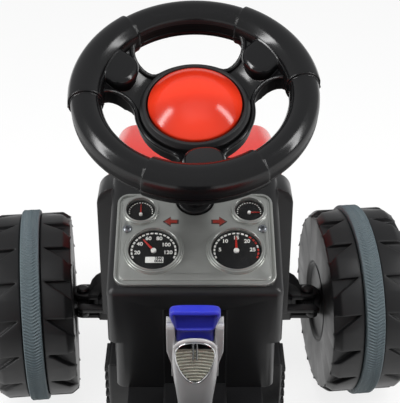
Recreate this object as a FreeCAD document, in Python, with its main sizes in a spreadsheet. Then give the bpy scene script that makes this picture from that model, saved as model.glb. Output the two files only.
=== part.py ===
"""Ride-on pedal tractor toy: every sub-part as its own body, placed in one shared frame.

Axes: X to the rider's right, Y forward, Z up, millimetres.  The origin is on the ground, at the middle of
the overall length and width.  Chassis pieces are drawn with Y measured from the front axle.
"""
import FreeCAD
import Part
import math
import os
import re
import Sketcher

V = FreeCAD.Vector

SIZES = [
    ("overall_length", 960), ("wheelbase", 600), ("hitch_reach", 100),
    ("wheel_offset", 60), ("rear_track", 430),
    ("front_band_diameter", 245), ("rear_band_diameter", 320),
    ("front_wheel_width", 98), ("rear_wheel_width", 110),
    ("front_band_width", 25), ("rear_band_width", 29),
    ("band_rise", 5), ("band_thickness", 10), ("band_edge", 2), ("band_fit", 0.02),
    ("tread_groove_depth", 7.5), ("wheel_wall", 2.8), ("tread_shoulder", 9),
    ("front_groove_count", 16), ("rear_groove_count", 18),
    ("groove_mouth", 24), ("groove_skew", 13), ("groove_land", 4),
    ("front_outer_dish_diameter", 156), ("front_outer_dish_depth", 16),
    ("front_inner_dish_diameter", 106), ("front_inner_dish_depth", 14),
    ("rear_outer_dish_diameter", 220), ("rear_outer_dish_depth", 22),
    ("rear_inner_dish_diameter", 200), ("rear_inner_dish_depth", 10),
    ("dish_draft", 5), ("wheel_rib_count", 6), ("wheel_rib_width", 9), ("wheel_rib_height", 7),
    ("front_hub_diameter", 34), ("rear_hub_diameter", 40), ("hub_setback", 3), ("inner_hub_rise", 2),
    ("cap_diameter", 46), ("cap_skirt", 6), ("cap_height", 15), ("axle_end_reach", 7.5), ("cap_clearance", 0.3),
    ("running_clearance", 0.05), ("side_clearance", 0.4),
    ("front_stub_diameter", 12), ("rear_axle_diameter", 14), ("rear_spacer_diameter", 22),
    ("kingpin_spread", 290), ("kingpin_diameter", 10), ("knuckle_boss_diameter", 22),
    ("knuckle_height", 23), ("ear_thickness", 6), ("ear_radius", 14), ("kingpin_head_diameter", 16),
    ("kingpin_head_height", 4), ("stub_shoulder_diameter", 19), ("steer_arm", 34), ("steer_arm_width", 14),
    ("steer_arm_thickness", 6), ("steer_arm_rise", 3), ("tie_pin_diameter", 8), ("tie_rod_width", 12),
    ("tie_rod_thickness", 6), ("tie_rod_gap", 0.6), ("tie_plate_width", 44), ("tie_slot_length", 15),
    ("steer_rest", 6), ("beam_depth", 36), ("beam_bottom", 103), ("beam_waist_top", 122),
    ("beam_waist_half", 48), ("beam_shoulder_in", 62), ("shoulder_reach", 47), ("beam_throat", 10),
    ("steering_wheel_diameter", 240), ("steering_height", 507), ("column_foot_setback", 44.15),
    ("column_foot_height", 170), ("column_rake", 25), ("column_diameter", 16), ("crank_pin_length", 27),
    ("crank_pin_diameter", 8), ("column_arm_thickness", 8), ("column_top_drop", 24),
    ("rim_section", 29), ("grip_section", 32), ("grip_angle", 52), ("spoke_width", 44), ("spoke_pad_width", 30),
    ("hub_dish_diameter", 122), ("hub_floor_drop", 12), ("hub_floor", 5), ("hub_sleeve_diameter", 31), ("sleeve_gap", 8),
    ("bezel_diameter", 107), ("bezel_bore", 94), ("bezel_height", 12),
    ("horn_diameter", 91), ("horn_dome", 19), ("horn_skirt", 6), ("horn_shell", 3), ("horn_travel", 4),
    ("horn_stem_diameter", 10), ("horn_boss_diameter", 30), ("spring_diameter", 22), ("spring_wire", 1.8),
    ("spring_turns", 4),
    ("dash_width", 168), ("dash_length", 120), ("dash_corner", 13), ("dash_tilt", 21), ("dash_setback", 172),
    ("dash_height", 324), ("dash_flange", 3), ("dash_raise", 2), ("dash_inset", 5.5), ("dash_bead", 2),
    ("bead_width", 2.8), ("column_boss_diameter", 38), ("column_boss_rise", 9), ("column_bush_diameter", 25), ("column_bush_length", 26), ("dash_notch_gap", 2),
    ("big_gauge_x", 43.5), ("big_gauge_y", -16), ("big_dial_diameter", 53), ("small_gauge_x", 58.5),
    ("small_gauge_y", 36.5), ("small_dial_diameter", 31), ("gauge_ring", 4), ("gauge_ring_rise", 2.5),
    ("dial_floor", 1.5), ("dial_thickness", 1), ("needle_width", 1.6), ("needle_thickness", 0.8),
    ("needle_hub_diameter", 6), ("needle_hub_height", 1.6), ("lens_wall", 1), ("lens_dome", 2.5),
    ("lens_proud", 1), ("arrow_x", 26), ("arrow_y", 21), ("arrow_length", 14), ("arrow_width", 11),
    ("arrow_thickness", 0.8), ("dash_screw_x", 72), ("dash_screw_y", 11.5), ("screw_head_diameter", 10),
    ("screw_head_height", 3), ("screw_diameter", 4), ("screw_length", 12),
    ("console_back", 240), ("console_half_width", 92), ("console_step_z", 235), ("console_foot_half_width", 85),
    ("console_wall", 4), ("console_corner", 10), ("channel_width", 66), ("channel_depth", 2.5), ("slope_end", 88),
    ("flange_back", 100), ("flange_front", 64), ("flange_step", 5), ("flange_bottom", 175),
    ("flange_top", 347), ("flange_corner", 20), ("foot_z", 174),
    ("engine_half_width", 80), ("engine_bottom", 162), ("engine_back", 128), ("engine_nose_gap", 14),
    ("deck_z", 235), ("deck_thickness", 6), ("body_wall", 3.5), ("body_corner", 8),
    ("gearbox_half_width", 99), ("gearbox_back", 184), ("gearbox_bottom", 86), ("gearbox_top", 166),
    ("fin_count", 6), ("fin_pitch", 12), ("fin_thickness", 5), ("fin_rise", 4),
    ("tunnel_half_width", 72), ("tunnel_bottom", 84), ("gate_margin", 2), ("tunnel_rear_z", 208),
    ("base_half_width", 105), ("base_front", 430), ("base_back", 690), ("base_bottom", 95), ("base_top", 262),
    ("hood_step", 1), ("hood_rear_top", 350), ("hood_front_top", 300), ("hood_corner", 25),
    ("hood_wall", 4), ("grille_thickness", 6), ("grille_half_width", 62), ("grille_bottom", 243),
    ("grille_height", 46), ("grille_frame", 7), ("grille_bar", 5), ("grille_bar_count", 7),
    ("headlight_x", 80), ("headlight_diameter", 28), ("headlight_dome", 7),
    ("seat_gap", 0.3), ("seat_side_gap", 2), ("seat_front", 452), ("seat_back_z", 474), ("seat_pan", 27), ("seat_dish", 11),
    ("seat_dish_radius", 165), ("seat_edge", 9), ("seat_wall", 5), ("seat_bolt_x", 60),
    ("fender_gap", 14), ("fender_wall", 4), ("fender_web", 66), ("fender_from", 38), ("fender_sweep", 116),
    ("hitch_z", 150), ("hitch_thickness", 10), ("hitch_half_width", 24), ("hitch_pin_hole", 13),
    ("hitch_plate_height", 60), ("hitch_plate_thickness", 8),
    ("chain_pitch", 10), ("chain_links", 78), ("crank_teeth", 20), ("axle_teeth", 14), ("roller_diameter", 5.6),
    ("link_plate", 1.1), ("link_inner_gap", 4.6), ("link_pin_diameter", 2.8), ("link_pin_fit", 0.35),
    ("link_side_fit", 0.3), ("tooth_fit", 0.65), ("tooth_relief", 1.2), ("tooth_height", 2.6), ("sprocket_thickness", 4),
    ("sprocket_x", 40), ("sprocket_hub_diameter", 28), ("sprocket_hub_length", 12),
    ("crank_height", 124), ("crank_axle_diameter", 16), ("crank_throw", 75), ("crank_arm_gap", 16),
    ("crank_arm_thickness", 9), ("crank_arm_width", 24), ("spindle_diameter", 12), ("spindle_length", 86),
    ("crank_rest", 41), ("pedal_width", 80), ("pedal_depth", 64), ("pedal_height", 24), ("pedal_gap", 3),
    ("pedal_grip_count", 5), ("pedal_grip_pitch", 12), ("bush_wall", 4), ("bush_flange", 4), ("bush_flange_thickness", 3),
    ("gate_half_width", 33), ("gate_fore", 43), ("gate_aft", 46), ("gate_top", 194), ("lever_setback", 290),
    ("lever_pivot_z", 184), ("lever_lean", 10), ("lever_width", 35), ("lever_thickness", 16), ("lever_neck", 98),
    ("lever_waist", 44), ("lever_fork_width", 54), ("lever_fork_top", 152), ("lever_ear", 4.5), ("shield_rise", 6),
    ("shield_margin", 3.5), ("fork_floor", 122.8), ("lever_pin_diameter", 8),
    ("lever_slot_side", 1.5), ("lever_slot_front", 24),
    ("paddle_pivot", 135), ("paddle_pin_diameter", 5), ("paddle_block_height", 20), ("paddle_block_width", 38),
    ("paddle_depth", 12), ("paddle_rise", 8), ("paddle_corner", 6), ("paddle_side_gap", 0.6),
    ("window_bottom", 58), ("window_height", 61), ("window_width", 37), ("window_thickness", 2),
    ("window_pocket", 5), ("insert_thickness", 2), ("insert_rib_count", 7),
]

DERIVED = {
    "front_overhang": "overall_length - hitch_back",
    "front_track": "kingpin_spread + 2*wheel_offset",
    "steering_setback": "column_foot_setback + (steering_height - column_foot_height)*tan(column_rake*1deg)",
    "column_crank_drop": "(steering_height - column_foot_height)/cos(column_rake*1deg)",
    "hub_sleeve_length": "boss_reach - column_bush_length/2 - sleeve_gap",
    "gate_front": "lever_setback - gate_fore",
    "gate_back": "lever_setback + gate_aft",
    "tunnel_flat_end": "gate_back + gate_margin",
    "lever_face": "lever_thickness/2 + shield_rise",
    "front_axle_y": "overall_length/2 - front_overhang",
    "rear_axle_y": "front_axle_y - wheelbase",
    "front_axle_z": "front_band_diameter/2",
    "rear_axle_z": "rear_band_diameter/2",
    "front_stub_r": "front_stub_diameter/2",
    "rear_axle_r": "rear_axle_diameter/2",
    "ear_gap_half": "knuckle_height/2",
    "tie_z": "front_axle_z + steer_arm_rise + steer_arm_thickness + tie_rod_gap",
    "nose_y": "front_overhang - grille_thickness",
    "steer_y": "0 - steering_setback",
    "arm_radius": "steering_wheel_diameter/2 - grip_section/2",
    "floor_z": "0 - hub_floor_drop",
    "dash_face": "dash_flange + dash_raise",
    "slope_back_z": "dash_height - (console_back - dash_setback)*tan(dash_tilt*1deg)",
    "slope_end_z": "dash_height + (dash_setback - slope_end)*tan(dash_tilt*1deg)",
    "boss_reach": "(steering_height - dash_height - (dash_setback - steering_setback)*tan(dash_tilt*1deg))"
                  "/(cos(column_rake*1deg) + sin(column_rake*1deg)*tan(dash_tilt*1deg))",
    "deck_reach": "(steering_height - deck_z + deck_thickness/2)/cos(column_rake*1deg)",
    "notch_y": "(dash_setback - steering_setback + boss_reach*sin(column_rake*1deg))/cos(dash_tilt*1deg)",
    "pin_drop": "steering_height - column_crank_drop*cos(column_rake*1deg) "
                "- steer_arm*cos(steer_rest*1deg)*sin(column_rake*1deg) - tie_z - tie_rod_thickness/2",
    "pin_y": "column_crank_drop*sin(column_rake*1deg) - steering_setback "
             "- steer_arm*cos(steer_rest*1deg)*cos(column_rake*1deg) + pin_drop*tan(column_rake*1deg)",
    "tie_slot_y": "pin_y + steer_arm*cos(steer_rest*1deg)",
    "crank_r": "crank_teeth*chain_pitch/2/pi",
    "axle_r": "axle_teeth*chain_pitch/2/pi",
    "link_sum": "2*chain_links - crank_teeth - axle_teeth",
    "chain_span": "chain_pitch/8*(link_sum + sqrt(link_sum^2 - 8/pi^2*(crank_teeth - axle_teeth)^2))",
    "chain_drop": "rear_axle_z - crank_height",
    "chain_run": "sqrt(chain_span^2 - chain_drop^2)",
    "crank_y": "chain_run - wheelbase",
    "base_depth": "base_back - base_front",
    "seat_z": "base_top",
    "seat_slope": "38/(seat_back_z - seat_z - seat_pan - 26)",
    "seat_half_width": "base_half_width - seat_side_gap",
    "hood_half_width": "base_half_width - hood_step",
    "flange_half_width": "base_half_width + flange_step",
    "beam_shoulder_out": "kingpin_spread/2 - shoulder_reach",
    "hitch_back": "base_back + hitch_reach",
}

doc = FreeCAD.newDocument("tractor")
sheet = doc.addObject("Spreadsheet::Sheet", "Sizes")
for row, (alias, value) in enumerate(SIZES, 1):
    sheet.set("A%d" % row, alias)
    sheet.set("B%d" % row, str(value))
    sheet.setAlias("B%d" % row, alias)
doc.recompute()
ALIASES = {alias for alias, value in SIZES}
SUB_PARTS = []


def full(text):
    """Return the expression with derived names opened up and every size read from the sheet."""
    def swap(match):
        word = match.group(0)
        if word in DERIVED:
            return "(" + full(DERIVED[word]) + ")"
        return "Sizes." + word if word in ALIASES else word
    return re.sub(r"[A-Za-z_][A-Za-z_0-9]*", swap, str(text))


def number(text):
    """Return the present value of an expression."""
    value = sheet.evalExpression(full(text))
    return float(getattr(value, "Value", value))


def bind(item, prop, text):
    """Bind one property to an expression of the sheet."""
    item.setExpression(prop, full(text))


TURNS = {
    "Z": FreeCAD.Rotation(),
    "-Z": FreeCAD.Rotation(V(1, 0, 0), 180),
    "X": FreeCAD.Rotation(V(0, 1, 0), 90),
    "-X": FreeCAD.Rotation(V(0, 1, 0), -90),
    "Y": FreeCAD.Rotation(V(1, 0, 0), -90),
    "-Y": FreeCAD.Rotation(V(1, 0, 0), 90),
}


def at_point(item, at, turn=None):
    """Place a feature at three expressions, turned by a fixed rotation."""
    item.Placement = FreeCAD.Placement(V(0, 0, 0), turn or FreeCAD.Rotation())
    for axis, text in zip("xyz", at):
        bind(item, "Placement.Base." + axis, text)


def vector_text(at):
    return "vector(%s; %s; %s)" % tuple(full(text) for text in at)


def turn_text(axis, angle):
    return "rotation(vector(%g; %g; %g); %s)" % (*axis, full(angle))


def new_body(label, at=("0", "front_axle_y", "0"), turns=()):
    """Start a sub-part; turns are (axis, angle) pairs applied in order from the outside in."""
    body = doc.addObject("PartDesign::Body", label)
    body.Label = label
    rotation = " * ".join(turn_text(axis, angle) for axis, angle in turns) or turn_text((0, 0, 1), "0")
    body.setExpression("Placement", "placement(%s; %s)" % (vector_text(at), rotation))
    SUB_PARTS.append(body)
    return body


def box(body, name, size, at, cut=False):
    """Add or remove a block given by its sizes and its lowest corner."""
    kind = "PartDesign::SubtractiveBox" if cut else "PartDesign::AdditiveBox"
    block = body.newObject(kind, body.Name + "_" + name)
    for prop, text in zip(("Length", "Width", "Height"), size):
        bind(block, prop, text)
    at_point(block, at)
    doc.recompute([block])
    return block


def cylinder(body, name, radius, length, at, axis="Z", cut=False):
    """Add or remove a cylinder that starts at a point and runs along an axis."""
    kind = "PartDesign::SubtractiveCylinder" if cut else "PartDesign::AdditiveCylinder"
    round_bar = body.newObject(kind, body.Name + "_" + name)
    bind(round_bar, "Radius", radius)
    bind(round_bar, "Height", length)
    at_point(round_bar, at, TURNS[axis] if isinstance(axis, str) else axis)
    doc.recompute([round_bar])
    return round_bar


def plane_sketch(body, name, plane, offset="0"):
    """Open a sketch on one of the body's own planes, moved along the plane's normal."""
    sketch = body.newObject("Sketcher::SketchObject", body.Name + "_" + name)
    base = [item for item in body.Origin.OriginFeatures if item.Role == plane][0]
    sketch.AttachmentSupport = [(base, "")]
    sketch.MapMode = "FlatFace"
    bind(sketch, "AttachmentOffset.Base.z", offset)
    return sketch


def fix_point(sketch, edge, end, point):
    """Tie one end of a line to two expressions."""
    for kind, text, value in zip(("DistanceX", "DistanceY"), point, [number(text) for text in point]):
        index = sketch.addConstraint(Sketcher.Constraint(kind, -1, 1, edge, end, value))
        bind(sketch, "Constraints[%d]" % index, text)


def outline(body, name, plane, points, offset="0"):
    """Draw a closed outline; a point may carry a third entry, the radius of the arc that leaves it."""
    sketch = plane_sketch(body, name, plane, offset)
    places = [V(number(point[0]), number(point[1]), 0) for point in points]
    total = len(points)
    for index, point in enumerate(points):
        first = places[index]
        last = places[(index + 1) % total]
        if len(point) == 2:
            sketch.addGeometry(Part.LineSegment(first, last), False)
            continue
        radius = number(point[2])
        middle = (first + last) * 0.5
        along = (last - first) * 0.5
        side = V(-along.y, along.x, 0).normalize()
        centre = middle + side * math.sqrt(max(radius * radius - along.Length ** 2, 0))
        bulge = centre + (middle - centre).normalize() * radius
        sketch.addGeometry(Part.Arc(first, bulge, last), False)
    for index, point in enumerate(points):
        following = (index + 1) % total
        starts = end_code(sketch, following, places[following])
        sketch.addConstraint(Sketcher.Constraint("Coincident", index, 3 - end_code(sketch, index, places[index]),
                                                 following, starts))
    for index, point in enumerate(points):
        fix_point(sketch, index, end_code(sketch, index, places[index]), point[:2])
        if len(point) == 3:
            number_at = sketch.addConstraint(Sketcher.Constraint("Radius", index, number(point[2])))
            bind(sketch, "Constraints[%d]" % number_at, point[2])
    doc.recompute([sketch])
    return sketch


def end_code(sketch, edge, place):
    """Return which end of a sketch edge lies at a place: 1 for its start, 2 for its end."""
    return 1 if (sketch.getPoint(edge, 1) - place).Length < 1e-6 else 2


def round_plate(body, name, plane, centre, size, radius, offset="0"):
    """Draw a rectangle with rounded corners around a centre."""
    x0, x1 = "%s - (%s)/2" % (centre[0], size[0]), "%s + (%s)/2" % (centre[0], size[0])
    y0, y1 = "%s - (%s)/2" % (centre[1], size[1]), "%s + (%s)/2" % (centre[1], size[1])
    points = [
        ("%s + %s" % (x0, radius), y0), ("%s - (%s)" % (x1, radius), y0, radius),
        (x1, "%s + %s" % (y0, radius)), (x1, "%s - (%s)" % (y1, radius), radius),
        ("%s - (%s)" % (x1, radius), y1), ("%s + %s" % (x0, radius), y1, radius),
        (x0, "%s - (%s)" % (y1, radius)), (x0, "%s + %s" % (y0, radius), radius),
    ]
    return outline(body, name, plane, points, offset)


def pad(body, name, sketch, length, middle=False, back=False):
    """Raise a sketch into a solid."""
    feature = body.newObject("PartDesign::Pad", body.Name + "_" + name)
    feature.Profile = sketch
    bind(feature, "Length", length)
    feature.Midplane = middle
    feature.Reversed = back
    doc.recompute([feature])
    return feature


def pocket(body, name, sketch, length, middle=False, back=False):
    """Sink a sketch into the solid."""
    feature = body.newObject("PartDesign::Pocket", body.Name + "_" + name)
    feature.Profile = sketch
    bind(feature, "Length", length)
    feature.Midplane = middle
    feature.Reversed = back
    doc.recompute([feature])
    return feature


def turned(body, name, points, angle="360"):
    """Turn an outline of (radius, height) points about the body's Z axis."""
    sketch = outline(body, name + "_outline", "XZ_Plane", points)
    feature = body.newObject("PartDesign::Revolution", body.Name + "_" + name)
    feature.Profile = sketch
    feature.ReferenceAxis = (sketch, ["V_Axis"])
    bind(feature, "Angle", angle)
    doc.recompute([feature])
    return feature


def polar(body, name, features, count):
    """Repeat features around the body's Z axis."""
    pattern = body.newObject("PartDesign::PolarPattern", body.Name + "_" + name)
    pattern.Originals = features
    axis = [item for item in body.Origin.OriginFeatures if item.Role == "Z_Axis"][0]
    pattern.Axis = (axis, [""])
    pattern.Angle = 360
    bind(pattern, "Occurrences", count)
    body.Tip = pattern
    doc.recompute([pattern])
    return pattern


def row(body, name, features, axis_role, count, length):
    """Repeat features in a straight row along one of the body's axes."""
    pattern = body.newObject("PartDesign::LinearPattern", body.Name + "_" + name)
    pattern.Originals = features
    axis = [item for item in body.Origin.OriginFeatures if item.Role == axis_role][0]
    pattern.Direction = (axis, [""])
    bind(pattern, "Length", length)
    bind(pattern, "Occurrences", count)
    body.Tip = pattern
    doc.recompute([pattern])
    return pattern


def rounded(body, name, radius, test):
    """Round the edges of the newest feature whose box passes a test."""
    before = body.Tip
    edges = ["Edge%d" % index for index, edge in enumerate(before.Shape.Edges, 1) if test(edge.BoundBox)]
    feature = body.newObject("PartDesign::Fillet", body.Name + "_" + name)
    feature.Base = (before, edges)
    bind(feature, "Radius", radius)
    doc.recompute([feature])
    return feature


def hollowed(body, name, wall, test):
    """Leave a wall of even thickness, open at the faces whose box passes a test."""
    before = body.Tip
    faces = ["Face%d" % index for index, face in enumerate(before.Shape.Faces, 1) if test(face.BoundBox)]
    feature = body.newObject("PartDesign::Thickness", body.Name + "_" + name)
    feature.Base = (before, faces)
    bind(feature, "Value", wall)
    feature.Reversed = True
    doc.recompute([feature])
    return feature


def near(value, text, reach=0.01):
    """Tell whether a coordinate lies on the plane an expression gives."""
    return abs(value - number(text)) < reach


def group(label, members):
    """Bind several like pieces into one sub-part."""
    compound = doc.addObject("Part::Compound", label)
    compound.Label = label
    compound.Links = members
    for member in members:
        if member in SUB_PARTS:
            SUB_PARTS.remove(member)
    SUB_PARTS.append(compound)
    return compound


SIDES = (("left", -1), ("right", 1))


def lower_body():
    """Black hollow chassis moulding: engine, gearbox block, tunnel and rear base."""
    body = new_body("lower_body")
    nose = "front_overhang - engine_nose_gap"
    box(body, "engine", ("2*engine_half_width", "%s + engine_back" % nose, "deck_z - engine_bottom"),
        ("0 - engine_half_width", "0 - engine_back", "engine_bottom"))
    box(body, "gearbox", ("2*gearbox_half_width", "gearbox_back - engine_back + body_wall", "gearbox_top - gearbox_bottom"),
        ("0 - gearbox_half_width", "0 - gearbox_back", "gearbox_bottom"))
    tunnel = outline(body, "tunnel_side", "YZ_Plane", [
        ("0 - gearbox_back + body_wall", "tunnel_bottom"), ("0 - gearbox_back + body_wall", "foot_z"),
        ("0 - tunnel_flat_end", "foot_z"), ("0 - base_front - body_wall", "tunnel_rear_z"),
        ("0 - base_front - body_wall", "base_bottom")])
    pad(body, "tunnel", tunnel, "2*tunnel_half_width", middle=True)
    box(body, "bridge", ("2*tunnel_half_width", "gearbox_back - engine_back + body_wall", "foot_z - engine_bottom"),
        ("0 - tunnel_half_width", "0 - gearbox_back", "engine_bottom"))
    box(body, "base", ("2*base_half_width", "base_depth", "base_top - base_bottom"),
        ("0 - base_half_width", "0 - base_back", "base_bottom"))
    box(body, "deck", ("2*hood_half_width", "nose_y + flange_front", "deck_thickness"),
        ("0 - hood_half_width", "0 - flange_front", "deck_z - deck_thickness"))
    upright = number("base_top - base_bottom") - 0.01
    rounded(body, "base_uprights", "body_corner",
            lambda b: b.ZLength > upright and b.YMin < number("0 - base_back + 1") and b.XLength < 0.01)
    rounded(body, "base_rim", "body_corner",
            lambda b: near(b.ZMin, "base_top") and near(b.ZMax, "base_top"))
    rounded(body, "gearbox_edges", "body_corner/2",
            lambda b: b.XLength < 0.01 and abs(abs(b.XMin) - number("gearbox_half_width")) < 0.01)
    inner = "2*(engine_half_width - body_wall)"
    box(body, "engine_room", (inner, "%s + engine_back - 2*body_wall" % nose, "deck_z - deck_thickness - engine_bottom"),
        ("0 - engine_half_width + body_wall", "0 - engine_back + body_wall", "engine_bottom"), cut=True)
    box(body, "gearbox_room", ("2*(gearbox_half_width - body_wall)", "gearbox_back - engine_back - body_wall",
                               "gearbox_top - gearbox_bottom - body_wall"),
        ("0 - gearbox_half_width + body_wall", "0 - gearbox_back + body_wall", "gearbox_bottom"), cut=True)
    room = outline(body, "tunnel_room_side", "YZ_Plane", [
        ("0 - engine_back - body_wall", "tunnel_bottom"), ("0 - engine_back - body_wall", "foot_z - body_wall"),
        ("0 - tunnel_flat_end + body_wall/5", "foot_z - body_wall"),
        ("0 - base_front - 2*body_wall", "tunnel_rear_z - body_wall"),
        ("0 - base_front - 2*body_wall", "tunnel_bottom")])
    pocket(body, "tunnel_room", room, "2*(tunnel_half_width - body_wall)", middle=True)
    box(body, "base_room", ("2*(base_half_width - body_wall)", "base_depth - 2*body_wall",
                            "base_top - base_bottom - body_wall"),
        ("0 - base_half_width + body_wall", "0 - base_back + body_wall", "base_bottom"), cut=True)
    cylinder(body, "column_hole", "column_bush_diameter/2", "deck_thickness*8",
             ("0", "steer_y + (deck_reach - deck_thickness*4)*sin(column_rake*1deg)",
              "steering_height - (deck_reach - deck_thickness*4)*cos(column_rake*1deg)"),
             FreeCAD.Rotation(V(1, 0, 0), number("column_rake") + 180), cut=True)
    cylinder(body, "crank_hole", "crank_axle_diameter/2 + bush_wall", "2*tunnel_half_width + 2*body_wall",
             ("0 - tunnel_half_width - body_wall", "crank_y", "crank_height"), "X", cut=True)
    for name, way in SIDES:
        cylinder(body, "seat_bolt_hole_" + name, "screw_diameter/2", "body_wall + 2",
                 ("%d*seat_bolt_x" % way, "30 - wheelbase", "base_top - body_wall - 1"), cut=True)
    cylinder(body, "axle_hole", "rear_axle_r + bush_wall", "2*base_half_width + 2*body_wall",
             ("0 - base_half_width - body_wall", "0 - wheelbase", "rear_axle_z"), "X", cut=True)
    for name, side in SIDES:
        fin = box(body, "fin_" + name, ("fin_rise + 1", "gearbox_back - engine_back - body_corner", "fin_thickness"),
                  ("%d*(gearbox_half_width + fin_rise/2 - 0.5) - fin_rise/2 - 0.5" % side,
                   "0 - gearbox_back + body_corner/2", "gearbox_bottom + fin_pitch/2"))
        row(body, "fins_" + name, [fin], "Z_Axis", "fin_count", "fin_pitch*(fin_count - 1)")
    return body


def dash_console():
    """Black console: sloped dash box, firewall flange and the narrower foot below the step."""
    body = new_body("dash_console")
    side = outline(body, "side", "YZ_Plane", [
        ("0 - console_back", "console_step_z"), ("0 - flange_front", "console_step_z"),
        ("0 - flange_front", "slope_end_z"), ("0 - slope_end", "slope_end_z"), ("0 - console_back", "slope_back_z")])
    pad(body, "dash_box", side, "2*console_half_width", middle=True)
    rounded(body, "box_edges", "console_corner",
            lambda b: abs(b.XMin) > number("console_half_width") - 0.01 and b.XLength < 0.01
            and b.ZMax > number("console_step_z") + 1 and b.YMin < number("0 - flange_front - 1")
            or b.XLength > 100 and near(b.YMin, "0 - console_back") and near(b.ZMin, "slope_back_z"))
    flange = outline(body, "flange_face", "XZ_Plane", [
        ("0 - flange_half_width", "flange_bottom"), ("flange_half_width", "flange_bottom"),
        ("flange_half_width", "flange_top - flange_corner", "flange_corner"),
        ("flange_half_width - flange_corner", "flange_top"),
        ("0 - flange_half_width + flange_corner", "flange_top", "flange_corner"),
        ("0 - flange_half_width", "flange_top - flange_corner")], offset="flange_front")
    pad(body, "flange", flange, "flange_back - flange_front")
    foot = round_plate(body, "foot_face", "XY_Plane", ("0", "0 - (console_back + flange_front)/2"),
                       ("2*console_foot_half_width", "(console_back - flange_front)"), "console_corner", "foot_z")
    pad(body, "foot", foot, "console_step_z - foot_z + 1")
    box(body, "channel", ("channel_width", "channel_depth + 1", "slope_back_z - 2*console_corner - foot_z + 1"),
        ("0 - channel_width/2", "0 - console_back - 1", "foot_z - 1"), cut=True)
    cylinder(body, "column_boss", "column_boss_diameter/2", "column_boss_rise*2.6",
             ("0", "steer_y + (boss_reach + column_boss_rise*1.6)*sin(column_rake*1deg)",
              "steering_height - (boss_reach + column_boss_rise*1.6)*cos(column_rake*1deg)"),
             FreeCAD.Rotation(V(1, 0, 0), number("column_rake")))
    inside = "0 - console_back + console_wall + channel_depth"
    room = outline(body, "room_side", "YZ_Plane", [
        (inside, "foot_z - 1"), ("0 - flange_front + 1", "foot_z - 1"),
        ("0 - flange_front + 1", "slope_end_z - console_wall*1.1"),
        ("0 - slope_end - console_wall*0.2", "slope_end_z - console_wall*1.1"),
        (inside, "slope_back_z + (console_wall - console_wall/cos(dash_tilt*1deg)*2)/2")])
    pocket(body, "room", room, "2*(console_foot_half_width - console_wall)", middle=True)
    box(body, "engine_gap", ("2*(engine_half_width + seat_gap)", "engine_back - flange_front + seat_gap + 1",
                             "deck_z - foot_z + seat_gap + 1"),
        ("0 - engine_half_width - seat_gap", "0 - engine_back - seat_gap", "foot_z - 1"), cut=True)
    for name, way in SIDES:
        cylinder(body, "screw_hole_" + name, "screw_diameter/2", "screw_length*2",
                 ("%d*dash_screw_x" % way,
                  "0 - dash_setback + dash_screw_y*cos(dash_tilt*1deg) + screw_length*sin(dash_tilt*1deg)",
                  "dash_height + dash_screw_y*sin(dash_tilt*1deg) - screw_length*cos(dash_tilt*1deg)"),
                 FreeCAD.Rotation(V(1, 0, 0), number("dash_tilt")), cut=True)
    cylinder(body, "column_hole", "column_bush_diameter/2", "column_boss_rise*8",
             ("0", "steer_y + (boss_reach + column_boss_rise*5)*sin(column_rake*1deg)",
              "steering_height - (boss_reach + column_boss_rise*5)*cos(column_rake*1deg)"),
             FreeCAD.Rotation(V(1, 0, 0), number("column_rake")), cut=True)
    return body


def hood():
    """Red hood: a rounded hollow cover that slopes down to the nose."""
    body = new_body("hood")
    side = outline(body, "side", "YZ_Plane", [
        ("0 - flange_front", "deck_z"), ("nose_y", "deck_z"), ("nose_y", "hood_front_top"),
        ("0 - flange_front", "hood_rear_top")])
    shell = pad(body, "shell", side, "2*hood_half_width", middle=True)
    rounded(body, "top_edges", "hood_corner",
            lambda b: b.ZMax > number("hood_front_top - 1") and b.YLength > number("nose_y + flange_front")/2)
    rounded(body, "nose_edge", "hood_corner*0.6",
            lambda b: near(b.YMin, "nose_y") and near(b.YMax, "nose_y") and near(b.ZMax, "hood_front_top")
            and b.XLength > number("hood_half_width"))
    hollowed(body, "hollow", "hood_wall", lambda b: near(b.ZMax, "deck_z") or near(b.YMax, "0 - flange_front"))
    box(body, "rear_trim", ("2*hood_half_width + 2", "20", "hood_rear_top"),
        ("0 - hood_half_width - 1", "0 - flange_front - 20", "deck_z - 1"), cut=True)
    return body


def nose_trim():
    """Black grille with upright bars, and two domed headlights beside it."""
    grille = new_body("grille")
    frame = round_plate(grille, "face", "XZ_Plane", ("0", "(grille_bottom + grille_height/2)"),
                        ("2*grille_half_width", "grille_height"), "grille_frame", offset="0 - nose_y")
    pad(grille, "plate", frame, "grille_thickness", back=True)
    slot_width = "((2*grille_half_width - 2*grille_frame - (grille_bar_count - 1)*grille_bar)/grille_bar_count)"
    slot = box(grille, "slot", (slot_width, "grille_thickness", "grille_height - 2*grille_frame"),
               ("0 - grille_half_width + grille_frame", "nose_y + grille_thickness/3", "grille_bottom + grille_frame"),
               cut=True)
    row(grille, "slots", [slot], "X_Axis", "grille_bar_count",
        "(%s + grille_bar)*(grille_bar_count - 1)" % slot_width)
    lamps = []
    for name, side in SIDES:
        lamp = new_body("headlight_" + name, ("%d*headlight_x" % side, "front_axle_y + nose_y",
                                              "grille_bottom + grille_height/2"), [((1, 0, 0), "0 - 90")])
        rim = "headlight_diameter/2"
        turned(lamp, "dome", [("0", "0"), (rim, "0"), (rim, "grille_thickness - headlight_dome/2"),
                              (rim + " - 2", "grille_thickness - headlight_dome/2"),
                              (rim + " - 3", "grille_thickness - headlight_dome/2 + 2"), ("0", "grille_thickness - 0.5")])
        lamps.append(lamp)
    group("headlights", lamps)


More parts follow.
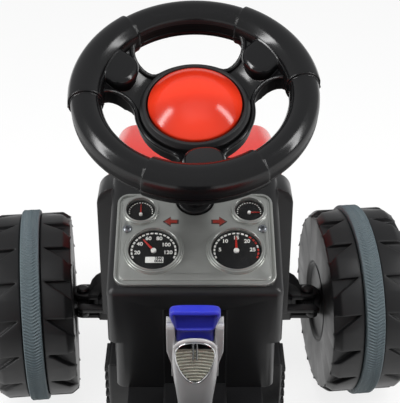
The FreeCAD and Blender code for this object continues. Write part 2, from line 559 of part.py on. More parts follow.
def seat():
    """Black bucket seat on the rear base, with a dished pan and a raked back."""
    body = new_body("seat")
    side = outline(body, "side", "YZ_Plane", [
        ("0 - seat_front", "seat_z"), ("0 - seat_front", "seat_z + seat_pan*0.7"),
        ("0 - seat_front - 16", "seat_z + seat_pan"), ("0 - base_back + 44", "seat_z + seat_pan"),
        ("0 - base_back + 16", "seat_z + seat_pan + 26"), ("0 - base_back - 22", "seat_back_z"),
        ("0 - base_back - 48", "seat_back_z - 6"), ("0 - base_back - 16", "seat_z + 34"),
        ("0 - base_back + 8", "seat_z")])
    pad(body, "shell", side, "2*seat_half_width", middle=True)
    rounded(body, "back_corners", "seat_edge*4", lambda b: b.XLength < 0.01 and b.ZMin > number("seat_back_z - 20"))
    rounded(body, "front_corners", "seat_edge*3", lambda b: b.XLength < 0.01 and b.YLength < 0.01
            and near(b.YMin, "0 - seat_front"))
    rounded(body, "pan_blend", "seat_edge*2", lambda b: b.XLength > number("seat_half_width*1.9")
            and (near(b.YMin, "0 - base_back + 44") and near(b.YMax, "0 - base_back + 44")
                 or near(b.YMin, "0 - base_back + 16")))
    cylinder(body, "dish", "seat_dish_radius", "base_back - seat_front - 30",
             ("0", "0 - base_back + 18", "seat_z + seat_pan + seat_dish_radius - seat_dish"), "Y", cut=True)
    cylinder(body, "back_dish", "seat_dish_radius", "seat_back_z",
             ("0", "0 - base_back + 16 + seat_dish_radius - seat_dish - seat_dish_radius*seat_slope^2",
              "seat_z + seat_pan + seat_dish_radius*seat_slope"),
             FreeCAD.Rotation(V(1, 0, 0), math.degrees(math.atan(number("seat_slope")))), cut=True)
    box(body, "under_room", ("2*(seat_half_width - 2*seat_wall)", "base_back - seat_front - 8*seat_wall",
                             "seat_pan - seat_dish - seat_wall + 1"),
        ("0 - seat_half_width + 2*seat_wall", "0 - base_back + 3*seat_wall", "seat_z - 1"), cut=True)
    for name, way in SIDES:
        cylinder(body, "bolt_hole_" + name, "screw_diameter/2", "seat_pan*2",
                 ("%d*seat_bolt_x" % way, "0 - wheelbase + 30", "seat_z - 1"), cut=True)
    return body


def fender(name, side):
    """Red fender: an arched strip over the rear wheel with a web against the base."""
    turns = [((0, 1, 0), "%d" % (90 * side)), ((0, 0, 1), fender_turn(side))]
    body = new_body("fender_" + name, ("%d*base_half_width" % side, "rear_axle_y", "rear_axle_z"), turns)
    outer = "(rear_axle_z + fender_gap + fender_wall)"
    reach = "(rear_track/2 + rear_wheel_width/2 - base_half_width)"
    turned(body, "arch", [
        (outer + " - fender_web", "0"), (outer, "0"), (outer, reach), (outer + " - fender_wall*2", reach),
        (outer + " - fender_wall*2", reach + " - fender_wall"), (outer + " - fender_wall", reach + " - fender_wall"),
        (outer + " - fender_wall", "fender_wall"), (outer + " - fender_web", "fender_wall")], "fender_sweep")
    return body


def fender_turn(side):
    """Return the turn about the axle that sets the front end of the arch at its angle."""
    return "90 + fender_from" if side > 0 else "90 - fender_from - fender_sweep"


def hitch():
    """Black tow hitch: a plate on the rear face and a tongue with a pin hole."""
    body = new_body("hitch")
    box(body, "plate", ("2*hitch_half_width", "hitch_plate_thickness", "hitch_plate_height"),
        ("0 - hitch_half_width", "0 - base_back - hitch_plate_thickness", "hitch_z - hitch_plate_height/2"))
    box(body, "tongue", ("2*hitch_half_width", "hitch_back - base_back - hitch_half_width", "hitch_thickness"),
        ("0 - hitch_half_width", "0 - hitch_back + hitch_half_width", "hitch_z - hitch_thickness/2"))
    cylinder(body, "eye", "hitch_half_width", "hitch_thickness",
             ("0", "0 - hitch_back + hitch_half_width", "hitch_z - hitch_thickness/2"))
    cylinder(body, "pin_hole", "hitch_pin_hole/2", "hitch_thickness + 2",
             ("0", "0 - hitch_back + hitch_half_width", "hitch_z - hitch_thickness/2 - 1"), cut=True)
    return body


DASH_AT = ("0", "front_axle_y - dash_setback", "dash_height")
DASH_TURN = [((1, 0, 0), "dash_tilt")]
GAUGES = (("big_left", -1, "big", "128"), ("big_right", 1, "big", "90"), ("small_left", -1, "small", "90"),
          ("small_right", 1, "small", "0"))


def dash_pieces():
    """Silver dash plate with its gauges and arrows; return its screws."""
    panel = new_body("dash_panel", DASH_AT, DASH_TURN)
    pad(panel, "flange", round_plate(panel, "edge", "XY_Plane", ("0", "0"), ("dash_width", "dash_length"), "dash_corner"),
        "dash_flange + dash_bead")
    groove = round_plate(panel, "groove_face", "XY_Plane", ("0", "0"),
                         ("(dash_width - 2*bead_width)", "(dash_length - 2*bead_width)"), "(dash_corner - bead_width)",
                         "dash_flange + dash_bead")
    pocket(panel, "groove", groove, "dash_bead")
    inner = round_plate(panel, "inner", "XY_Plane", ("0", "0"), ("(dash_width - 2*dash_inset)", "(dash_length - 2*dash_inset)"),
                        "(dash_corner - dash_inset)")
    pad(panel, "raised", inner, "dash_face")
    dials = []
    needles = []
    lenses = []
    for name, side, size, aim in GAUGES:
        spot = ("%d*%s_gauge_x" % (side, size), "%s_gauge_y" % size)
        dial_r = "%s_dial_diameter/2" % size
        cylinder(panel, "ring_" + name, dial_r + " + gauge_ring", "dash_face + gauge_ring_rise - 1", (*spot, "1"))
    for name, side, size, aim in GAUGES:
        spot = ("%d*%s_gauge_x" % (side, size), "%s_gauge_y" % size)
        dial_r = "%s_dial_diameter/2" % size
        cylinder(panel, "well_" + name, dial_r, "dash_face*3", (*spot, "dial_floor"), cut=True)
        dial = new_body("dial_" + name, DASH_AT, DASH_TURN)
        cylinder(dial, "disc", dial_r, "dial_thickness", (*spot, "dial_floor"))
        dials.append(dial)
        needle = new_body("needle_" + name, dash_point(spot), DASH_TURN + [((0, 0, 1), aim)])
        top = "dial_floor + dial_thickness"
        cylinder(needle, "hub", "needle_hub_diameter/2", "needle_hub_height", ("0", "0", top))
        box(needle, "hand", ("%s*0.72" % dial_r, "needle_width", "needle_thickness"), ("0", "0 - needle_width/2", top))
        needles.append(needle)
        lens = new_body("lens_" + name, dash_point(spot), DASH_TURN)
        height = "dash_face + gauge_ring_rise + lens_proud"
        turned(lens, "cover", [
            (dial_r, top), (dial_r, height), ("%s*0.8" % dial_r, height + " + lens_dome*0.7"),
            ("0", height + " + lens_dome"), ("0", height + " + lens_dome - lens_wall"),
            ("%s*0.78" % dial_r, height + " + lens_dome*0.7 - lens_wall"),
            (dial_r + " - lens_wall", height + " - lens_wall*0.5"), (dial_r + " - lens_wall", top)])
        lenses.append(lens)
    cylinder(panel, "notch", "column_boss_diameter/2 + dash_notch_gap", "dash_face*3", ("0", "notch_y", "0 - dash_face"),
             cut=True)
    screws = []
    arrows = []
    for name, side in SIDES:
        spot = ("%d*dash_screw_x" % side, "dash_screw_y")
        cylinder(panel, "screw_hole_" + name, "screw_diameter/2", "dash_face*3", (*spot, "0 - dash_face"), cut=True)
        screw = new_body("dash_screw_" + name, dash_point(spot), DASH_TURN)
        turned(screw, "head", [
            ("0", "dash_face - screw_length"), ("screw_diameter/2", "dash_face - screw_length"),
            ("screw_diameter/2", "dash_face"), ("screw_head_diameter/2", "dash_face"),
            ("screw_head_diameter/2", "dash_face + screw_head_height*0.4"),
            ("screw_head_diameter/3", "dash_face + screw_head_height"), ("0", "dash_face + screw_head_height")])
        screws.append(screw)
        arrow = new_body("arrow_" + name, DASH_AT, DASH_TURN)
        tip, tail = "%d*(arrow_x + arrow_length/2)" % side, "%d*(arrow_x - arrow_length/2)" % side
        neck = "%d*arrow_x" % side
        shape = outline(arrow, "shape", "XY_Plane", [
            (tip, "arrow_y"), (neck, "arrow_y + arrow_width/2"), (neck, "arrow_y + arrow_width/5"),
            (tail, "arrow_y + arrow_width/5"), (tail, "arrow_y - arrow_width/5"), (neck, "arrow_y - arrow_width/5"),
            (neck, "arrow_y - arrow_width/2")], offset="dash_face")
        pad(arrow, "plate", shape, "arrow_thickness")
        arrows.append(arrow)
    group("gauge_dials", dials)
    group("gauge_needles", needles)
    group("gauge_lenses", lenses)
    group("indicator_arrows", arrows)
    return screws


def dash_point(spot):
    """Return the frame position of a point of the dash plate."""
    return (spot[0], "front_axle_y - dash_setback + (%s)*cos(dash_tilt*1deg)" % spot[1],
            "dash_height + (%s)*sin(dash_tilt*1deg)" % spot[1])


STEER_AT = ("0", "front_axle_y - steering_setback", "steering_height")
STEER_TURN = [((1, 0, 0), "column_rake"), ((0, 0, 1), "steer_rest")]
COLUMN_TURN = [((1, 0, 0), "column_rake")]


def steering_pieces():
    """Steering wheel, horn and column, drawn about the column axis with the wheel centre as origin."""
    wheel = new_body("steering_wheel", STEER_AT, STEER_TURN)
    turned(wheel, "hub", [
        ("horn_stem_diameter/2 + running_clearance", "floor_z"), ("hub_dish_diameter/2 - 3", "floor_z"),
        ("hub_dish_diameter/2", "floor_z - 2"), ("hub_dish_diameter/2 - 3", "floor_z - hub_floor - 6"),
        ("hub_sleeve_diameter/2 + 4", "floor_z - hub_floor - 12"), ("hub_sleeve_diameter/2", "floor_z - hub_floor - 20"),
        ("hub_sleeve_diameter/2", "0 - hub_sleeve_length"), ("column_diameter/2", "0 - hub_sleeve_length"),
        ("column_diameter/2", "0 - column_top_drop"),
        ("horn_stem_diameter/2 + running_clearance", "0 - column_top_drop")])
    spoke = outline(wheel, "spoke_side", "YZ_Plane", [
        ("0 - hub_dish_diameter/2 + 6", "floor_z"), ("0 - arm_radius", "rim_section*0.22"),
        ("0 - arm_radius", "0 - rim_section*0.3"), ("0 - hub_dish_diameter/2 + 6", "floor_z - hub_floor - 5")])
    spoke_pad = pad(wheel, "spoke", spoke, "spoke_width", middle=True)
    face = outline(wheel, "pad_side", "YZ_Plane", [
        ("0 - hub_dish_diameter/2 - 4", "floor_z - 2"), ("0 - hub_dish_diameter/2 - 4", "floor_z + 5"),
        ("0 - arm_radius + rim_section*0.45", "rim_section*0.24"),
        ("0 - arm_radius + rim_section*0.45", "0 - rim_section*0.1")])
    raised = pad(wheel, "spoke_pad", face, "spoke_pad_width", middle=True)
    polar(wheel, "spokes", [spoke_pad, raised], "3")
    rim = wheel.newObject("PartDesign::AdditiveTorus", "steering_wheel_rim")
    bind(rim, "Radius1", "arm_radius")
    bind(rim, "Radius2", "rim_section/2")
    doc.recompute([rim])
    for index in range(3):
        grip = wheel.newObject("PartDesign::AdditiveTorus", "steering_wheel_grip_%d" % index)
        bind(grip, "Radius1", "arm_radius")
        bind(grip, "Radius2", "grip_section/2")
        bind(grip, "Angle3", "grip_angle")
        grip.setExpression("Placement", "placement(vector(0; 0; 0); %s)"
                           % turn_text((0, 0, 1), "270 + %d - grip_angle/2" % (120 * index)))
        doc.recompute([grip])
    bezel = new_body("horn_bezel", STEER_AT, STEER_TURN)
    turned(bezel, "ring", [
        ("bezel_bore/2", "floor_z"), ("bezel_diameter/2", "floor_z"), ("bezel_diameter/2", "floor_z + bezel_height*0.6"),
        ("bezel_diameter/2 - 3", "floor_z + bezel_height"), ("bezel_bore/2 + 1", "floor_z + bezel_height"),
        ("bezel_bore/2", "floor_z + bezel_height - 1")])
    horn = new_body("horn_button", STEER_AT, STEER_TURN)
    low = "(floor_z + horn_travel + 2)"
    dome_r = "((horn_diameter^2/4 + horn_dome^2)/(2*horn_dome))"
    in_r = "(((horn_diameter/2 - horn_shell)^2 + (horn_dome - 1)^2)/(2*(horn_dome - 1)))"
    edge = low + " + horn_skirt"
    turned(horn, "dome", [
        ("horn_diameter/2 - horn_shell", low), ("horn_diameter/2", low), ("horn_diameter/2", edge, dome_r),
        ("0", edge + " + horn_dome"), ("0", "floor_z - horn_travel*1.5"),
        ("horn_stem_diameter/2", "floor_z - horn_travel*1.5"), ("horn_stem_diameter/2", edge),
        ("horn_boss_diameter/2", edge), ("horn_boss_diameter/2", edge + " + horn_dome*0.6"),
        ("horn_diameter/2 - horn_shell - 8", edge + " + 2"), ("horn_diameter/2 - horn_shell", edge + " - 2")])
    spring = doc.addObject("Part::Feature", "horn_spring")
    spring.Label = "horn_spring"
    spring.Shape = coil(number("spring_diameter/2"), number("spring_wire/2"), number("spring_turns"),
                        number("floor_z"), number(edge))
    spring.setExpression("Placement", "placement(%s; %s * %s)" % (
        vector_text(STEER_AT), turn_text(*STEER_TURN[0]), turn_text(*STEER_TURN[1])))
    SUB_PARTS.append(spring)
    column = new_body("steering_column", STEER_AT, STEER_TURN)
    foot = "(0 - column_crank_drop)"
    cylinder(column, "shaft", "column_diameter/2", "column_crank_drop - column_top_drop - 0.2",
             ("0", "0", foot))
    box(column, "arm", ("column_diameter*1.2", "steer_arm", "column_arm_thickness"),
        ("0 - column_diameter*0.6", "0 - steer_arm", foot))
    cylinder(column, "arm_root", "column_diameter*0.8", "column_arm_thickness", ("0", "0", foot))
    cylinder(column, "arm_tip", "column_diameter*0.6", "column_arm_thickness", ("0", "0 - steer_arm", foot))
    cylinder(column, "pin", "crank_pin_diameter/2", "crank_pin_length + 1",
             ("0", "0 - steer_arm", foot + " - crank_pin_length"))
    bushes = []
    for name, reach in (("upper", "boss_reach"), ("lower", "deck_reach")):
        bush = new_body("column_bush_" + name, STEER_AT, COLUMN_TURN)
        bushes.append(bush)
        middle = "0 - " + reach
        turned(bush, "sleeve", [
            ("column_diameter/2 + running_clearance", middle + " - column_bush_length/2"),
            ("column_bush_diameter/2", middle + " - column_bush_length/2"),
            ("column_bush_diameter/2", middle + " + column_bush_length/2"),
            ("column_diameter/2 + running_clearance", middle + " + column_bush_length/2")])
    group("column_bushes", bushes)


def coil(radius, wire, turns, low, high):
    """Return a coil spring of many-sided wire that fills the space between two heights."""
    pitch = (high - low - 2.1 * wire) / turns
    start = low + 1.05 * wire
    helix = Part.makeHelix(pitch, pitch * turns, radius)
    helix.translate(V(0, 0, start))
    lean = FreeCAD.Rotation(V(0, 0, 1), V(0, 1, pitch / (2 * math.pi * radius)))
    angles = [math.pi / 6 * step for step in range(12)]
    corners = [V(radius, 0, start) + lean.multVec(V(wire * math.cos(a), wire * math.sin(a), 0)) for a in angles]
    section = Part.makePolygon(corners + corners[:1])
    return Part.Wire(helix.Edges).makePipeShell([section], True, True)


def front_axle():
    """Black front axle beam with forked ends; return the two kingpins."""
    body = new_body("front_axle_beam")
    end = "(kingpin_spread/2)"
    web = "(kingpin_spread/2 - knuckle_boss_diameter/2 - beam_throat)"
    top = "(front_axle_z + ear_gap_half + ear_thickness)"
    low = "(front_axle_z - ear_gap_half - ear_thickness)"
    half = [("beam_waist_half", "beam_waist_top"), ("beam_shoulder_in", "engine_bottom"),
            ("beam_shoulder_out", "engine_bottom"), (web, top), (web, low), ("beam_shoulder_in", "beam_bottom")]
    points = [("0 - (%s)" % x, z) for x, z in half[::-1]] + half
    pad(body, "beam", outline(body, "face", "XZ_Plane", points), "beam_depth", middle=True)
    for name, side in SIDES:
        for level, z in (("top", top + " - ear_thickness"), ("low", low)):
            box(body, "ear_%s_%s" % (level, name), ("knuckle_boss_diameter/2 + beam_throat + 1", "2*ear_radius", "ear_thickness"),
                ("0 - " + end if side < 0 else web + " - 1", "0 - ear_radius", z))
            cylinder(body, "ear_end_%s_%s" % (level, name), "ear_radius", "ear_thickness", ("%d*%s" % (side, end), "0", z))
        cylinder(body, "pin_hole_" + name, "kingpin_diameter/2", top + " - %s + 2" % low,
                 ("%d*%s" % (side, end), "0", low + " - 1"), cut=True)
    rounded(body, "arm_edges", "4", lambda b: b.YLength < 0.01 and b.XLength > 20 and b.ZLength > 10
            and b.ZMax > number("engine_bottom - 1"))
    pins = []
    for name, side in SIDES:
        pin = new_body("kingpin_" + name, ("%d*kingpin_spread/2" % side, "front_axle_y", "0"))
        turned(pin, "pin", [("0", low), ("kingpin_diameter/2", low), ("kingpin_diameter/2", top),
                            ("kingpin_head_diameter/2", top), ("kingpin_head_diameter/2", top + " + kingpin_head_height*0.6"),
                            ("kingpin_head_diameter/3", top + " + kingpin_head_height"), ("0", top + " + kingpin_head_height")])
        pins.append(pin)
    return pins


def knuckle(name, side):
    """Steel knuckle: boss on the kingpin, stub axle for the wheel and steering arm."""
    body = new_body("knuckle_" + name, ("%d*kingpin_spread/2" % side, "front_axle_y", "front_axle_z"),
                    [((0, 0, 1), "steer_rest")])
    tall = "(knuckle_height - 2*side_clearance)"
    way = "X" if side > 0 else "-X"
    cylinder(body, "boss", "knuckle_boss_diameter/2", tall, ("0", "0", "0 - %s/2" % tall))
    start = "(knuckle_boss_diameter/2 - 3)"
    offset = "(front_track/2 - kingpin_spread/2)"
    face = "(%s - front_wheel_width/2 + front_inner_dish_depth - inner_hub_rise - side_clearance)" % offset
    cylinder(body, "shoulder", "stub_shoulder_diameter/2", "%s - %s" % (face, start), ("%d*%s" % (side, start), "0", "0"), way)
    cylinder(body, "stub", "front_stub_r", "%s + front_wheel_width/2 - hub_setback + axle_end_reach - %s" % (offset, start),
             ("%d*%s" % (side, start), "0", "0"), way)
    box(body, "arm", ("steer_arm_width", "steer_arm", "steer_arm_thickness"),
        ("0 - steer_arm_width/2", "0 - steer_arm", "steer_arm_rise"))
    cylinder(body, "arm_end", "steer_arm_width/2", "steer_arm_thickness", ("0", "0 - steer_arm", "steer_arm_rise"))
    cylinder(body, "kingpin_bore", "kingpin_diameter/2 + running_clearance", "knuckle_height + 2",
             ("0", "0", "0 - knuckle_height/2 - 1"), cut=True)
    cylinder(body, "tie_bore", "tie_pin_diameter/2 + running_clearance", "steer_arm_thickness + 2",
             ("0", "0 - steer_arm", "steer_arm_rise - 1"), cut=True)
    return body


def tie_rod():
    """Black tie rod with a pin at each end and a slotted plate for the column crank."""
    body = new_body("tie_rod", ("steer_arm*sin(steer_rest*1deg) - kingpin_spread/2",
                                "front_axle_y - steer_arm*cos(steer_rest*1deg)", "tie_z"))
    box(body, "bar", ("kingpin_spread", "tie_rod_width", "tie_rod_thickness"), ("0", "0 - tie_rod_width/2", "0"))
    reach = "steer_arm_thickness + tie_rod_gap + 1"
    for name, x in (("left", "0"), ("right", "kingpin_spread")):
        cylinder(body, "eye_" + name, "tie_rod_width/2 + 1", "tie_rod_thickness", (x, "0", "0"))
        cylinder(body, "pin_" + name, "tie_pin_diameter/2", reach + " + 1", (x, "0", "0 - (%s)" % reach))
    plate_back = "(tie_slot_y - tie_slot_length/2 - tie_rod_width*0.6)"
    box(body, "plate", ("tie_plate_width", "tie_rod_width/2 - %s" % plate_back, "tie_rod_thickness"),
        ("kingpin_spread/2 - tie_plate_width/2", plate_back, "0"))
    box(body, "slot", ("crank_pin_diameter + 4*running_clearance", "tie_slot_length", "tie_rod_thickness*3"),
        ("kingpin_spread/2 - crank_pin_diameter/2 - 2*running_clearance", "tie_slot_y - tie_slot_length/2",
         "0 - tie_rod_thickness"), cut=True)
    return body


def wheel_point(end, side):
    """Return the centre of a wheel; a front wheel stands turned with its knuckle."""
    if end == "rear":
        return ("%d*rear_track/2" % side, "rear_axle_y", "rear_axle_z")
    offset = "(front_track/2 - kingpin_spread/2)"
    return ("%d*(kingpin_spread/2 + %s*cos(steer_rest*1deg))" % (side, offset),
            "front_axle_y + %d*%s*sin(steer_rest*1deg)" % (side, offset), "front_axle_z")


def wheel_turns(end, side, outward):
    """Return the turns that point a wheel piece's Z axis outward or inward."""
    flat = [((0, 1, 0), "%d" % (90 * side * outward))]
    return flat if end == "rear" else [((0, 0, 1), "steer_rest")] + flat


def wheel(end, name, side, bore):
    """Wheel of two tread shells, a soft centre band and a red hub cap."""
    band_r = "%s_band_diameter/2" % end
    tread_r = "(%s - band_rise)" % band_r
    seat_r = "(%s - band_thickness)" % band_r
    shell_r = "(%s - tread_groove_depth - wheel_wall)" % tread_r
    half = "%s_wheel_width/2" % end
    hub_r = "%s_hub_diameter/2" % end
    band_half = "%s_band_width/2" % end
    label = "%s_wheel_%s" % (end, name)
    for face, outward in (("outer", 1), ("inner", -1)):
        body = new_body("%s_%s" % (label, face), wheel_point(end, side), wheel_turns(end, side, outward))
        dish_r = "%s_%s_dish_diameter/2" % (end, face)
        floor = "(%s - %s_%s_dish_depth)" % (half, end, face)
        boss = "(%s - hub_setback)" % half if outward > 0 else "(%s + inner_hub_rise)" % floor
        turned(body, "shell", [
            (seat_r, "0"), (seat_r, band_half), (tread_r, band_half), (tread_r, half + " - tread_shoulder"),
            (tread_r + " - tread_shoulder*0.7", half), (dish_r, half), (dish_r + " - dish_draft", floor), (hub_r, floor),
            (hub_r, boss), (bore, boss), (bore, "0"), (hub_r, "0"), (hub_r, floor + " - wheel_wall"),
            (dish_r + " - dish_draft + wheel_wall", floor + " - wheel_wall"),
            (dish_r + " + wheel_wall", half + " - wheel_wall"), (shell_r, half + " - wheel_wall"), (shell_r, "0")])
        lean = side * outward
        mouth = "%d*groove_skew/2" % lean
        groove = outline(body, "groove_face", "YZ_Plane", [
            ("%d*groove_skew/2" % -lean, band_half + " + groove_land"),
            (mouth + " + groove_mouth/2", half + " + 1"), (mouth + " - groove_mouth/2", half + " + 1")],
            offset=tread_r + " - tread_groove_depth")
        cut = pocket(body, "groove", groove, "tread_groove_depth + 6", back=True)
        polar(body, "grooves", [cut], "%s_groove_count" % end)
        if outward > 0:
            rib = box(body, "rib", (dish_r + " - dish_draft/2 - %s + 1" % hub_r, "wheel_rib_width", "wheel_rib_height + 1"),
                      (hub_r + " - 1", "0 - wheel_rib_width/2", floor + " - 1"))
            polar(body, "ribs", [rib], "wheel_rib_count")
    band = new_body(label + "_band", wheel_point(end, side), wheel_turns(end, side, 1))
    inside = seat_r + " + band_fit"
    turned(band, "ring", [
        (inside, "0 - %s + band_fit" % band_half), (band_r + " - band_edge", "0 - %s + band_fit" % band_half),
        (band_r, "0 - %s + band_edge" % band_half), (band_r, band_half + " - band_edge"),
        (band_r + " - band_edge", band_half + " - band_fit"), (inside, band_half + " - band_fit")])
    cap = new_body("%s_hub_cap_%s" % (end, name), wheel_point(end, side), wheel_turns(end, side, 1))
    hole = ("front_stub_r" if end == "front" else "rear_axle_r") + " + cap_clearance"
    low = "(%s - hub_setback)" % half
    turned(cap, "cap", [
        (hole, low), ("cap_diameter/2", low), ("cap_diameter/2", low + " + cap_skirt"),
        ("cap_diameter/2 - 4", low + " + cap_skirt + 4"), ("cap_diameter/4", low + " + cap_height - 1.5"),
        ("0", low + " + cap_height"), ("0", low + " + axle_end_reach + cap_clearance"),
        (hole, low + " + axle_end_reach + cap_clearance")])


def rear_axle():
    """Steel rear axle with spacer tubes and sprocket; return its flanged bushes."""
    axle = new_body("rear_axle", ("0", "rear_axle_y", "rear_axle_z"), [((0, 1, 0), "90")])
    half = "(rear_track/2 + rear_wheel_width/2 - hub_setback + axle_end_reach)"
    turned(axle, "shaft", [("0", "0 - %s" % half), ("rear_axle_r - 1", "0 - %s" % half), ("rear_axle_r", "1 - %s" % half),
                           ("rear_axle_r", half + " - 1"), ("rear_axle_r - 1", half), ("0", half)])
    bushes = []
    spacers = []
    for name, side in SIDES:
        turn = [((0, 1, 0), "%d" % (90 * side))]
        bush = new_body("rear_axle_bush_" + name, ("0", "rear_axle_y", "rear_axle_z"), turn)
        flanged_bush(bush, "rear_axle_r + running_clearance", "rear_axle_r + bush_wall", "base_half_width")
        bushes.append(bush)
        spacer = new_body("rear_spacer_" + name, ("0", "rear_axle_y", "rear_axle_z"), turn)
        start = "(base_half_width + bush_flange_thickness + side_clearance)"
        stop = "(rear_track/2 - rear_wheel_width/2 + rear_inner_dish_depth - inner_hub_rise%s)" % (
            "" if side > 0 else " - side_clearance")
        turned(spacer, "tube", [("rear_axle_r", start), ("rear_spacer_diameter/2", start),
                                ("rear_spacer_diameter/2", stop), ("rear_axle_r", stop)])
        spacers.append(spacer)
    group("rear_spacers", spacers)
    sprocket("rear_sprocket", "axle_teeth", "axle_r", "rear_axle_r", ("sprocket_x", "rear_axle_y", "rear_axle_z"))
    return bushes


def flanged_bush(body, bore, outside, wall_face):
    """Bush that fills a wall hole, with a flange against the outside of the wall."""
    turned(body, "bush", [
        (bore, wall_face + " - body_wall"), (outside, wall_face + " - body_wall"), (outside, wall_face),
        (outside + " + bush_flange", wall_face), (outside + " + bush_flange", wall_face + " + bush_flange_thickness"),
        (bore, wall_face + " + bush_flange_thickness")])


def sprocket(label, teeth, pitch_r, bore, at):
    """Toothed wheel with round gaps for the chain rollers, turned so that a roller lies in a gap."""
    phase = roller_phase(number(at[1]), number(at[2]), number(pitch_r))
    body = new_body(label, at, [((0, 1, 0), "90"), ((0, 0, 1), "%.6f" % phase)])
    cylinder(body, "disc", pitch_r + " + tooth_height", "sprocket_thickness", ("0", "0", "0 - sprocket_thickness/2"))
    cylinder(body, "hub", "sprocket_hub_diameter/2", "sprocket_hub_length", ("0", "0", "0 - sprocket_hub_length/2"))
    gap = cylinder(body, "gap", "roller_diameter/2 + tooth_fit", "sprocket_thickness + 2",
                   (pitch_r, "0", "0 - sprocket_thickness/2 - 1"), cut=True)
    mouth = "(roller_diameter + 2*tooth_fit + tooth_relief)"
    opening = box(body, "opening", ("tooth_height + 2", mouth, "sprocket_thickness + 2"),
                  (pitch_r, "0 - %s/2" % mouth, "0 - sprocket_thickness/2 - 1"), cut=True)
    polar(body, "teeth", [gap, opening], teeth)
    cylinder(body, "bore", bore, "sprocket_hub_length + 2", ("0", "0", "0 - sprocket_hub_length/2 - 1"), cut=True)
    return body


def chain_rollers():
    """Return the (y, z) places of the chain rollers, evenly spaced along the two arcs and the two straight runs."""
    front = V(0, number("front_axle_y + crank_y"), number("crank_height"))
    rear = V(0, number("rear_axle_y"), number("rear_axle_z"))
    front_r, rear_r, span = number("crank_r"), number("axle_r"), (front - rear).Length
    along = (front - rear) / span
    up = V(0, -along.z, along.y)
    spread = math.asin((front_r - rear_r) / span)
    straight = span * math.cos(spread)
    front_arc = front_r * (math.pi + 2 * spread)
    rear_arc = rear_r * (math.pi - 2 * spread)
    step = (front_arc + rear_arc + 2 * straight) / number("chain_links")
    top = up * math.cos(spread) - along * math.sin(spread)
    low = up * -math.cos(spread) - along * math.sin(spread)
    places = []
    for index in range(int(number("chain_links"))):
        reach = index * step
        if reach < front_arc:
            turn = FreeCAD.Rotation(V(1, 0, 0), -math.degrees(reach / front_r))
            place = front + turn.multVec(top) * front_r
        elif reach < front_arc + straight:
            place = front + low * front_r - (along - low * low.dot(along)).normalize() * (reach - front_arc)
        elif reach < front_arc + straight + rear_arc:
            turn = FreeCAD.Rotation(V(1, 0, 0), -math.degrees((reach - front_arc - straight) / rear_r))
            place = rear + turn.multVec(low) * rear_r
        else:
            forward = (along - top * top.dot(along)).normalize()
            place = rear + top * rear_r + forward * (reach - front_arc - straight - rear_arc)
        places.append(place)
    return places


def roller_phase(centre_y, centre_z, pitch_r):
    """Return the turn that puts a sprocket gap under the first roller that lies on its pitch circle."""
    for place in chain_rollers():
        offset = place - V(0, centre_y, centre_z)
        if abs(offset.Length - pitch_r) < 0.01:
            return math.degrees(math.atan2(offset.y, -offset.z))
    return 0.0


def link_plate(x, thickness, height, pitch):
    """Return one chain side plate with round ends, from one roller to the next along Y."""
    half = height / 2
    edges = [
        Part.makeLine(V(x, 0, -half), V(x, pitch, -half)),
        Part.Arc(V(x, pitch, -half), V(x, pitch + half, 0), V(x, pitch, half)).toShape(),
        Part.makeLine(V(x, pitch, half), V(x, 0, half)),
        Part.Arc(V(x, 0, half), V(x, -half, 0), V(x, 0, -half)).toShape(),
    ]
    return Part.Face(Part.Wire(edges)).extrude(V(thickness, 0, 0))


def chain():
    """Roller chain: links with rollers and links with pins in turn, laid along the two sprockets."""
    pitch = number("chain_pitch")
    plate, gap = number("link_plate"), number("link_inner_gap")
    height = number("chain_pitch*0.72")
    side = gap / 2 + plate + number("link_side_fit")
    bore_r = number("link_pin_diameter/2 + link_pin_fit")
    inner = [link_plate(gap / 2, plate, height, pitch), link_plate(-gap / 2 - plate, plate, height, pitch)]
    outer = [link_plate(side, plate, height, pitch), link_plate(-side - plate, plate, height, pitch)]
    bores = []
    for y in (0, pitch):
        inner.append(Part.makeCylinder(number("roller_diameter/2"), gap, V(-gap / 2, y, 0), V(1, 0, 0)))
        bores.append(Part.makeCylinder(bore_r, 2 * side, V(-side, y, 0), V(1, 0, 0)))
        outer.append(Part.makeCylinder(number("link_pin_diameter/2"), 2 * (side + plate), V(-side - plate, y, 0), V(1, 0, 0)))
    roller_link = inner[0].multiFuse(inner[1:]).cut(Part.makeCompound(bores))
    pin_link = outer[0].multiFuse(outer[1:])
    places = chain_rollers()
    links = []
    for index, place in enumerate(places):
        way = places[(index + 1) % len(places)] - place
        link = (pin_link if index % 2 else roller_link).copy()
        turn = FreeCAD.Rotation(V(1, 0, 0), math.degrees(math.atan2(way.z, way.y)))
        link.Placement = FreeCAD.Placement(place - turn.multVec(V(0, (pitch - way.Length) / 2, 0)), turn)
        links.append(link)
    item = doc.addObject("Part::Feature", "chain")
    item.Label = "chain"
    item.Shape = Part.makeCompound(links)
    bind(item, "Placement.Base.x", "sprocket_x")
    SUB_PARTS.append(item)


def crank_turn(side):
    """Return the turn of a crank arm about X at rest; the two arms stand opposite."""
    return "0 - crank_rest" if side > 0 else "180 - crank_rest"


